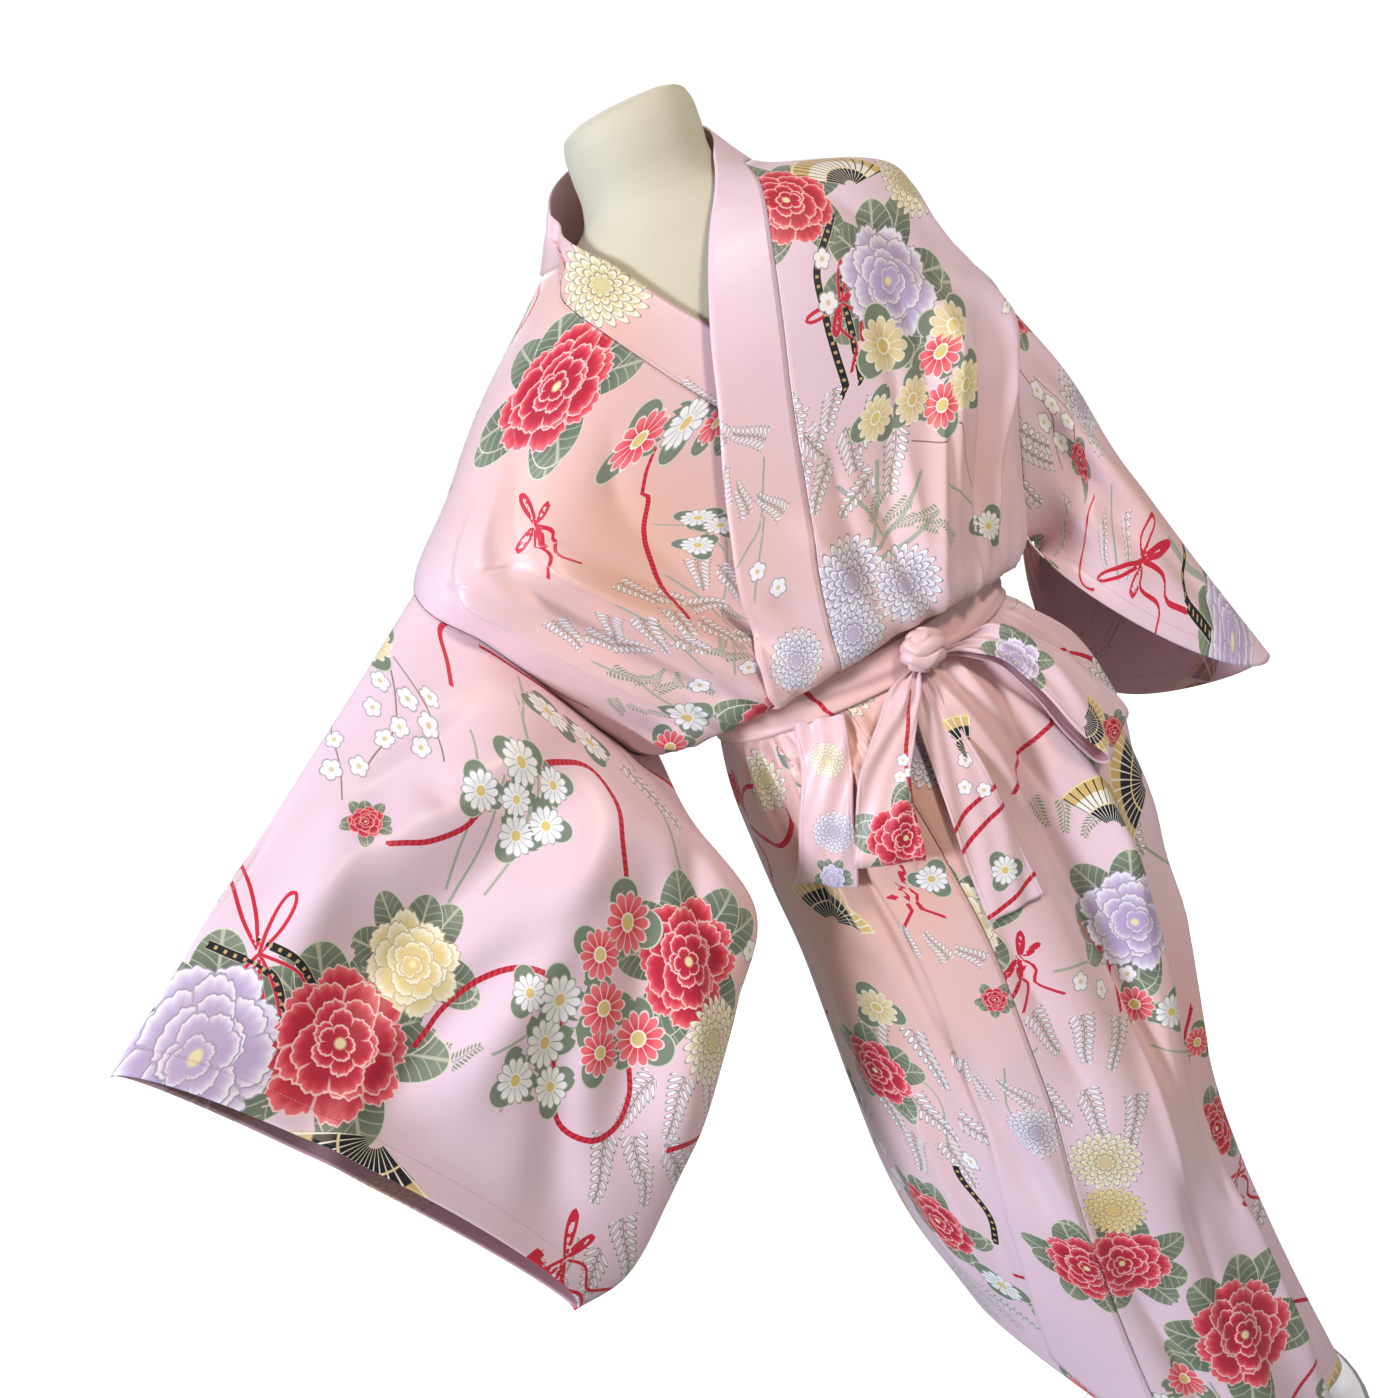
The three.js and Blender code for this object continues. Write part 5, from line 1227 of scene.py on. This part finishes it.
def sleeveGrid(side, sections, creases, around, rows):
    half = robe["holeLeft"] if side == "left" else robe["holeRight"]
    sign = 1 if side == "left" else -1
    a = np.linspace(0, 2 * math.pi, around, endpoint=False)
    z = robe["holeBottom"] + (robe["holeTop"] - robe["holeBottom"]) * (1 + np.cos(a)) / 2
    x = body["left" if side == "left" else "right"](z) + 0.4
    rings = [np.stack([sign * x, -half * np.sin(a), z - droop(z, 0 if side == "left" else 180)], -1)]
    for top, low, front, rear, sag in sections:
        top, low = np.array(top, float), np.array(low, float)
        middle = (top + low) / 2
        swell = np.where(np.sin(a)[:, None] >= 0, np.array(front, float), np.array(rear, float))
        ring = middle + (top - middle) * np.cos(a)[:, None] + swell * np.abs(np.sin(a))[:, None]
        ring[:, 2] -= np.where(np.sin(a) < 0, np.sin(2 * a) * sag, 0)
        rings.append(ring)
    grid = denseRows(np.array(rings), rows)
    n = unitNormals(grid, True)
    if np.sum(n * (grid - grid.mean(1, keepdims=True))) < 0:
        n = -n
    keep = smooth(np.linspace(0, 1, rows), 0.0, 0.12)[:, None]
    fade = keep * np.ones((1, around))
    total = np.zeros((rows, around))
    for k, (x0, z0, x1, z1, width, depth) in enumerate(creases):
        for facing, amount in ((-1, 1.0), (1, -0.8)):
            dx, dz = x1 - x0, z1 - z0
            length = math.hypot(dx, dz)
            rx, rz = grid[..., 0] - x0 - (12 if facing > 0 else 0), grid[..., 2] - z0 + (18 if facing > 0 else 0)
            t = (rx * dx + rz * dz) / length ** 2
            off = (rx * -dz + rz * dx) / length
            ends = smooth(t, -0.1, 0.25) * (1 - smooth(t, 0.7, 1.1))
            on = smooth(facing * n[..., 1], 0.0, 0.5)
            total += amount * 1.8 * depth * ends * on * np.exp(-((off / (width * (1 + 0.5 * np.clip(t, 0, 1)))) ** 2))
    return grid + n * (total * fade)[..., None]


def makeSleeve(name, node, side, sections, creases, around, rows, offset, area):
    grid = sleeveGrid(side, sections, creases, around, rows)
    ring = np.concatenate([grid, grid[:, :1]], 1)
    uv = clothUv(grid, around // 4, True, offset, 0.45 if side == "right" else -0.2, side == "left")
    toCuff = np.concatenate([np.cumsum(np.linalg.norm(np.diff(grid[::-1], axis=0), axis=-1), 0)[::-1], np.zeros((1, around))])
    fromHole = np.concatenate([np.zeros((1, around)), np.cumsum(np.linalg.norm(np.diff(grid, axis=0), axis=-1), 0)])
    go = np.cumsum(np.linalg.norm(np.diff(ring, axis=1), axis=-1), 1)
    first = np.abs(toCuff - 22) < np.abs(fromHole - 2)
    sew = np.stack([np.where(first, toCuff - 22, fromHole - 2), go], -1)
    middle = grid.mean(1, keepdims=True) * np.ones_like(grid)
    obj, corners, _ = sheetMesh(name, grid, robe["wall"], uv, middle, True, sew, paintedWarmShadeAt(grid))
    paintMotifs(obj, corners, grid, uv, motifs[side], lines[side], True, ring=True)
    dress(obj, [node], area)


makeSleeve("sleeve_right_cloth", "sleeve_right", "right", rightSleeve, rightCreases, 220, 170, (60, 200), 0.39)
makeSleeve("sleeve_left_cloth", "sleeve_left", "left", leftSleeve, leftCreases, 160, 110, (330, 420), 0.125)
print("sleeves made")

# ---------------------------------------------------------------- belt
beltValues = {"middle": 997, "half": 17, "wall": 2.0, "around": 360, "lines": 13}


def beltLift(deg):
    onOver = overLift(np.minimum(deg, 90))
    return np.where(deg < 180, onOver * (1 - smooth(deg, 150, 168)), 0)


def beltPoint(z, deg, lift):
    p = bodyPoint(np.full_like(deg, 997.0), deg, False)
    n = bodyNormal(np.full_like(deg, 997.0), deg)
    n[..., 2] = 0
    n /= np.linalg.norm(n, axis=-1, keepdims=True)
    flare = np.abs(z - 997) / 17
    p = p + n * (lift + 3.2 * flare ** 2)[..., None]
    p[..., 2] = z
    return p


deg = np.linspace(0, 360, beltValues["around"], endpoint=False)[None, :] * np.ones((beltValues["lines"], 1))
share = np.linspace(0, 1, beltValues["lines"])[:, None] * np.ones_like(deg)
r = np.radians(deg)
crumple = (np.sin(share * 9 + 2.2 * np.sin(2 * r + 1) + 0.8 * np.sin(7 * r)) * 1.1
           + np.sin(share * 15 + 3 * np.sin(3 * r) + 2) * 0.7)
lift = beltLift(deg) + 1.8 + 3.0 + 1.4 * np.sin(math.pi * share) + crumple * np.sin(math.pi * share) ** 0.5
z = 997 + 17 * (1 - 2 * share) + 1.5 * np.sin(3 * r + 0.5)
grid = beltPoint(z, deg, lift)
uv = clothUv(grid, 0, True, (90, 250))
beltWrap, corners, _ = sheetMesh("belt_wrap_cloth", grid, beltValues["wall"], uv, axisOf(grid), True, None, paintedWarmShadeAt(grid) * 0.6 + 0.3)
paintMotifs(beltWrap, corners, grid, uv, [], {"cords": [(0, 2.2, [(-80, 992), (-86, 1004), (-90, 1012)])]}, False, ring=False)
dress(beltWrap, ["belt_wrap"], 0.031)


def ribbonGrid(table, steps, columns, loop):
    rows = np.array(table, float)
    t = np.linspace(0, len(rows) - 1, steps)
    k = np.clip(t.astype(int), 0, len(rows) - 2)
    s = (t - k)[:, None]
    slope = np.gradient(rows, axis=0)
    value = ((2 * s ** 3 - 3 * s ** 2 + 1) * rows[k] + (s ** 3 - 2 * s ** 2 + s) * slope[k]
             + (3 * s ** 2 - 2 * s ** 3) * rows[k + 1] + (s ** 3 - s ** 2) * slope[k + 1])
    x, z, half, lift, gap = value.T
    ax, az = np.gradient(x), np.gradient(z)
    norm = np.hypot(ax, az)
    ax, az = ax / norm, az / norm
    across = np.linspace(-1, 1, columns)[None, :]

    def layer(index, out, beyond, bulge):
        px = (x[index] + ax[index] * beyond)[:, None] - az[index][:, None] * across * half[index][:, None]
        pz = (z[index] + az[index] * beyond)[:, None] + ax[index][:, None] * across * half[index][:, None]
        way = index[:, None] / steps
        ripple = (1.6 * np.sin(across * 3.4 + way * 9 + x[0] * 0.1) + 1.1 * np.sin(across * 7 + way * 14)) * smooth(way, 0.0, 0.25)
        root = 2.2 * np.cos(across * 7.5) * (1 - smooth(way, 0.05, 0.4))
        outward = out[:, None] + bulge * (ripple + root)
        return layerPoint(pz, angleAtX(pz, px), outward, 0.0, False)

    index = np.arange(steps)
    none = np.zeros(steps)
    if not loop:
        return layer(index, lift, none, 0.8)
    turn = np.linspace(0, math.pi, 14)[1:-1]
    end = np.full(len(turn), steps - 1)
    g = gap[-1]
    return np.concatenate([
        layer(index, lift, none, 0.5),
        layer(end, lift[-1] + g / 2 * (1 - np.cos(turn)), g / 2 * np.sin(turn), 0.8),
        layer(index[::-1], (lift + gap)[::-1], none, 1.2),
    ])


ribbons = {
    "belt_tail_right": [(-82, 979, 19, 11, 0), (-96, 945, 18, 11, 0), (-116, 900, 18, 11, 0), (-138, 842, 20, 10, 0)],
    "belt_tail_left": [(4, 971, 9, 10, 0), (-3, 935, 16, 10, 0), (-8, 880, 22, 11, 0), (-13, 815, 25, 11, 0), (-16, 762, 26, 10, 0)],
    "belt_loop_right": [(2, 974.5, 7, 14, 6), (-28, 953, 13, 13, 10), (-58, 924, 17, 13, 14), (-74, 893, 20, 13, 18), (-86, 858, 24, 13, 18)],
    "belt_loop_left": [(30, 984, 7, 15, 4), (78, 957, 13, 13, 12), (101, 921, 19, 13, 16), (115, 880, 24, 13, 19), (126, 846, 25, 13, 19)],
}
ribbonPrint = {
    "belt_tail_right": ([("mum", 1, -122, 890, 20, 0.2), ("peony", 1, -140, 850, 14, 0.3), ("mum", 2, -100, 950, 16, 0.3)], {}),
    "belt_tail_left": ([("daisy", 1, -12, 800, 13, 0.2), ("plum", 1, 2, 900, 7, 0.1), ("plum", 1, -10, 880, 7, 0.5), ("plum", 1, 4, 870, 7, 0.8)],
                       {"cords": [(0, 2.2, [(-40, 850), (-16, 862), (14, 868)]), (0, 2.2, [(-42, 830), (-16, 842), (14, 850)]),
                                  (0, 2.2, [(-44, 768), (-16, 774), (12, 782)])]}),
    "belt_loop_right": ([("peony", 0, -80, 872, 34, 0.2), ("plum", 1, -50, 930, 6, 0.2), ("plum", 1, -60, 920, 6, 0.2), ("plum", 1, -44, 916, 6, 0.5)],
                        {"cords": [(0, 2.0, [(-20, 965), (-40, 940), (-50, 900)])]}),
    "belt_loop_left": ([("peony", 1, 84, 950, 26, 0.2), ("fan", 0, 110, 880, 34, 1.0), ("peony", 0, 140, 850, 16, 0.2)], {}),
}
ribbonCut = {
    "belt_tail_right": ((0.05, 0.165), 0.008), "belt_tail_left": ((0.05, 0.23), 0.0102),
    "belt_loop_right": ((0.05, 0.36), 0.016), "belt_loop_left": ((0.05, 0.43), 0.02),
}
for name, table in ribbons.items():
    loop = "loop" in name
    grid = ribbonGrid(table, 70, 21, loop)
    uv = clothUv(grid, 10, False, (520 if loop else 200, 120 if "left" in name else 380))
    inside = grid.copy()
    inside[..., 1] += 400
    if loop:
        inside = grid.mean(0, keepdims=True) * np.ones_like(grid)
        half = len(grid) // 2
        inside[:half, :, 1] = grid[:half, :, 1] - 40
        inside[half:, :, 1] = grid[half:, :, 1] + 40
        inside[..., 0], inside[..., 2] = grid[..., 0], grid[..., 2]
    side = np.minimum(np.arange(21), 20 - np.arange(21)) * 2.2
    sew = np.stack([np.broadcast_to(side - 3.0, grid.shape[:2]), uv[..., 1]], -1)
    obj, corners, _ = sheetMesh(name + "_cloth", grid, 1.2, uv, inside, False, sew, paintedWarmShadeAt(grid) * 0.5)
    placed, extra = ribbonPrint[name]
    paintMotifs(obj, corners, grid[-80:] if loop else grid, uv[-80:] if loop else uv, placed, extra, False)
    flat, area = ribbonCut[name]
    dress(obj, [name], area)
print("ribbons made")

# knot: a wrapped roll of the belt, from a sphere with wound grooves
knot = {"place": (16, -122.5, 999), "size": (23, 15.5, 20), "groove": 0.2}


def makeKnot(values):
    rows, cols = 70, 110
    a = np.linspace(0, 2 * math.pi, cols, endpoint=False)[None, :]
    t = np.linspace(0.06, math.pi - 0.06, rows)[:, None]
    ux, uz = np.sin(t) * np.cos(a), np.cos(t) * np.ones_like(a)
    tilt = 0.42 * ux + 0.9 * uz + 0.16 * np.sin(3 * a + 1)
    fold = 1 - np.abs(np.sin(4.6 * tilt + 0.5)) ** 0.45
    radius = 1 - values["groove"] * fold - 0.05 * np.abs(np.sin(2 * a + 3 * t))
    x = radius * np.sin(t) * np.cos(a)
    y = radius * np.sin(t) * np.sin(a)
    z = radius * np.cos(t) * np.ones_like(a)
    grid = np.stack([x, y, z], -1) * np.array(values["size"]) + np.array(values["place"])
    uv = clothUv(grid, 0, True, (200, 60))
    middle = np.array(values["place"]) * np.ones_like(grid)
    obj, corners, _ = sheetMesh("belt_knot_cloth", grid, 1.2, uv, middle, True, None, np.full((rows, cols, 1), 0.45))
    paintMotifs(obj, corners, grid, uv, [], {}, False)
    return obj


knotCloth = makeKnot(knot)
dress(knotCloth, ["belt_knot"], 0.0045)
print("belt made")

# ---------------------------------------------------------------- dress form and its stand
formRows = [
    (1513, 42, 38, 38), (1509, 52, 48, 47), (1500, 58, 53, 52), (1478, 60, 56, 55), (1452, 60, 56, 55),
    (1436, 66, 59, 58), (1424, 82, 64, 63), (1412, 106, 70, 68), (1396, 132, 76, 74), (1376, 152, 84, 80),
    (1345, 163, 92, 86), (1280, 166, 101, 92), (1200, 162, 109, 96), (1140, 154, 108, 96), (1070, 138, 92, 90),
    (1000, 127, 80, 84), (940, 135, 87, 92), (860, 152, 108, 106), (790, 158, 114, 112), (745, 154, 112, 110),
]
form = {"around": 140, "rows": 260, "stand": 0.35, "lean": (6, -8)}


def makeForm(values):
    cols = {k: curveOf(formRows, i + 1) for i, k in enumerate(["side", "front", "back"])}
    z = np.concatenate([np.full(10, 1513.2), np.linspace(1513, 745, values["rows"]), np.full(8, 744.8)])
    shrink = np.concatenate([np.linspace(0.05, 0.97, 10), np.ones(values["rows"]), np.linspace(0.97, 0.08, 8)])
    a = np.linspace(0, 2 * math.pi, values["around"], endpoint=False)[None, :]
    p = 2 / 2.2
    lean = smooth(z, 1400, 1513)[:, None]
    zz = z[:, None]
    c, s = np.cos(a), np.sin(a)
    reach = np.where(s > 0, cols["front"](zz), cols["back"](zz))
    x = np.sign(c) * np.abs(c) ** p * cols["side"](zz) * shrink[:, None]
    y = -np.sign(s) * np.abs(s) ** p * reach * shrink[:, None]
    dome = np.where(z > 1512, 1, 0)[:, None] * 3.0 * (1 - shrink[:, None] ** 2)
    grid = np.stack([x + lean * values["lean"][0], y + lean * values["lean"][1], zz + dome + 0 * a], -1)
    grid = grid + np.array([0, 0, 0])
    return grid


jersey = {"colour": (0.62, 0.6, 0.44), "scale": 620}


def makeJersey():
    mat = bpy.data.materials.new("form_jersey")
    mat.use_nodes = True
    tree = mat.node_tree
    shader = tree.nodes["Principled BSDF"]
    coords = tree.nodes.new("ShaderNodeTexCoord")
    knit = tree.nodes.new("ShaderNodeTexWave")
    knit.inputs["Scale"].default_value = jersey["scale"] / 4
    knit.inputs["Distortion"].default_value = 2
    tree.links.new(coords.outputs["Object"], knit.inputs["Vector"])
    cloud = tree.nodes.new("ShaderNodeTexNoise")
    cloud.inputs["Scale"].default_value = 9
    tree.links.new(coords.outputs["Object"], cloud.inputs["Vector"])
    tree.links.new(mixColour(tree, Value(tree, cloud.outputs[0]), jersey["colour"], (0.68, 0.66, 0.52)), shader.inputs["Base Color"])
    shader.inputs["Roughness"].default_value = 0.85
    shader.inputs["Sheen Weight"].default_value = 0.3
    bump = tree.nodes.new("ShaderNodeBump")
    bump.inputs["Strength"].default_value = 0.19
    bump.inputs["Distance"].default_value = 0.0008
    tree.links.new((Value(tree, knit.outputs["Fac"]) * 0.4 + Value(tree, cloud.outputs[0]) * 0.5).socket, bump.inputs["Height"])
    tree.links.new(bump.outputs[0], shader.inputs["Normal"])
    return mat


formJersey = makeJersey()
grid = makeForm(form)
uv = clothUv(grid, 0, True)
cover, corners, _ = sheetMesh("form_cover", grid, 1.0, uv, axisOf(grid), True)
cover.data.materials.append(formJersey)
cover.data.materials.append(formJersey)
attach(cover, "root")
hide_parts("form_torso")
print("form cover area", round(sum(p.area for p in cover.data.polygons) / 2, 3))


def makeMetal():
    mat = bpy.data.materials.new("stand_metal")
    mat.use_nodes = True
    tree = mat.node_tree
    shader = tree.nodes["Principled BSDF"]
    coords = tree.nodes.new("ShaderNodeTexCoord")
    scuff = tree.nodes.new("ShaderNodeTexNoise")
    scuff.inputs["Scale"].default_value = 40
    scuff.inputs["Detail"].default_value = 4
    tree.links.new(coords.outputs["Object"], scuff.inputs["Vector"])
    tree.links.new(mixColour(tree, Value(tree, scuff.outputs[0]), (0.6, 0.6, 0.62), (0.5, 0.5, 0.52)), shader.inputs["Base Color"])
    tree.links.new((Value(tree, scuff.outputs[0]) * 0.2 + 0.28).socket, shader.inputs["Roughness"])
    shader.inputs["Metallic"].default_value = 0.6
    return mat


standMetal = makeMetal()
for name in ("form_pole", "form_foot"):
    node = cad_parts[name]
    node.data.materials.clear()
    node.data.materials.append(standMetal)
print("form made")

# ---------------------------------------------------------------- floor, backdrop and lights
stage = {"floor": 5.0, "wall": 7.0, "tall": 7.0}


def makeStage(values):
    mat = bpy.data.materials.new("stage_pale")
    mat.use_nodes = True
    shader = mat.node_tree.nodes["Principled BSDF"]
    shader.inputs["Base Color"].default_value = (0.92, 0.92, 0.92, 1)
    shader.inputs["Roughness"].default_value = 0.9
    shader.inputs["Emission Color"].default_value = (1, 1, 1, 1)
    shader.inputs["Emission Strength"].default_value = 0.74
    bpy.ops.mesh.primitive_circle_add(vertices=96, radius=values["floor"], fill_type="NGON", location=(0, 0, 0))
    floor = bpy.context.object
    floor.name = "floor"
    floor.data.materials.append(mat)
    floor.visible_diffuse = False
    floor.visible_glossy = False
    profile = [(values["floor"], 0)] + [
        (values["floor"] + (values["wall"] - values["floor"]) * math.sin(t), (values["wall"] - values["floor"]) * (1 - math.cos(t)))
        for t in np.linspace(0.1, math.pi / 2, 12)
    ] + [(values["wall"], values["tall"])]
    points, faces = [], []
    for k in range(96):
        t = 2 * math.pi * k / 96
        points += [(r * math.cos(t), r * math.sin(t), h) for r, h in profile]
    n = len(profile)
    for k in range(96):
        for j in range(n - 1):
            a, b = k * n + j, ((k + 1) % 96) * n + j
            faces.append((a, a + 1, b + 1, b))
    mesh = bpy.data.meshes.new("backdrop")
    mesh.from_pydata(points, [], faces)
    mesh.polygons.foreach_set("use_smooth", np.ones(len(faces), bool))
    backdrop = bpy.data.objects.new("backdrop", mesh)
    bpy.context.collection.objects.link(backdrop)
    glow = bpy.data.materials.new("backdrop_pale")
    glow.use_nodes = True
    glow.node_tree.nodes["Principled BSDF"].inputs["Base Color"].default_value = (0.02, 0.02, 0.02, 1)
    glow.node_tree.nodes["Principled BSDF"].inputs["Emission Color"].default_value = (1, 1, 1, 1)
    glow.node_tree.nodes["Principled BSDF"].inputs["Emission Strength"].default_value = 1.05
    backdrop.data.materials.append(glow)
    backdrop.visible_shadow = False
    backdrop.visible_diffuse = False
    backdrop.visible_glossy = False


makeStage(stage)


def areaLight(name, place, target, size, power, colour):
    data = bpy.data.lights.new(name, "AREA")
    data.shape = "DISK"
    data.size = size
    data.energy = power
    data.color = colour
    light = bpy.data.objects.new(name, data)
    light.location = place
    light.rotation_euler = (Vector(target) - Vector(place)).to_track_quat("-Z", "Y").to_euler()
    bpy.context.collection.objects.link(light)


areaLight("cool", (-3.0, -1.5, 2.3), (-0.15, 0, 1.0), 0.9, 116, (0.82, 0.86, 1.0))
areaLight("warm", (1.3, -2.4, 3.1), (0.05, 0, 1.0), 0.6, 56, (1.0, 0.84, 0.73))
areaLight("rim", (0.6, 2.8, 2.8), (0, 0, 1.1), 2.0, 36, (1.0, 0.98, 0.96))
world = bpy.data.worlds.new("studio")
bpy.context.scene.world = world
world.use_nodes = True
world.node_tree.nodes["Background"].inputs["Color"].default_value = (1.0, 0.99, 0.98, 1)
world.node_tree.nodes["Background"].inputs["Strength"].default_value = 0.25
bpy.context.scene.view_settings.view_transform = "Standard"
print("lights made")
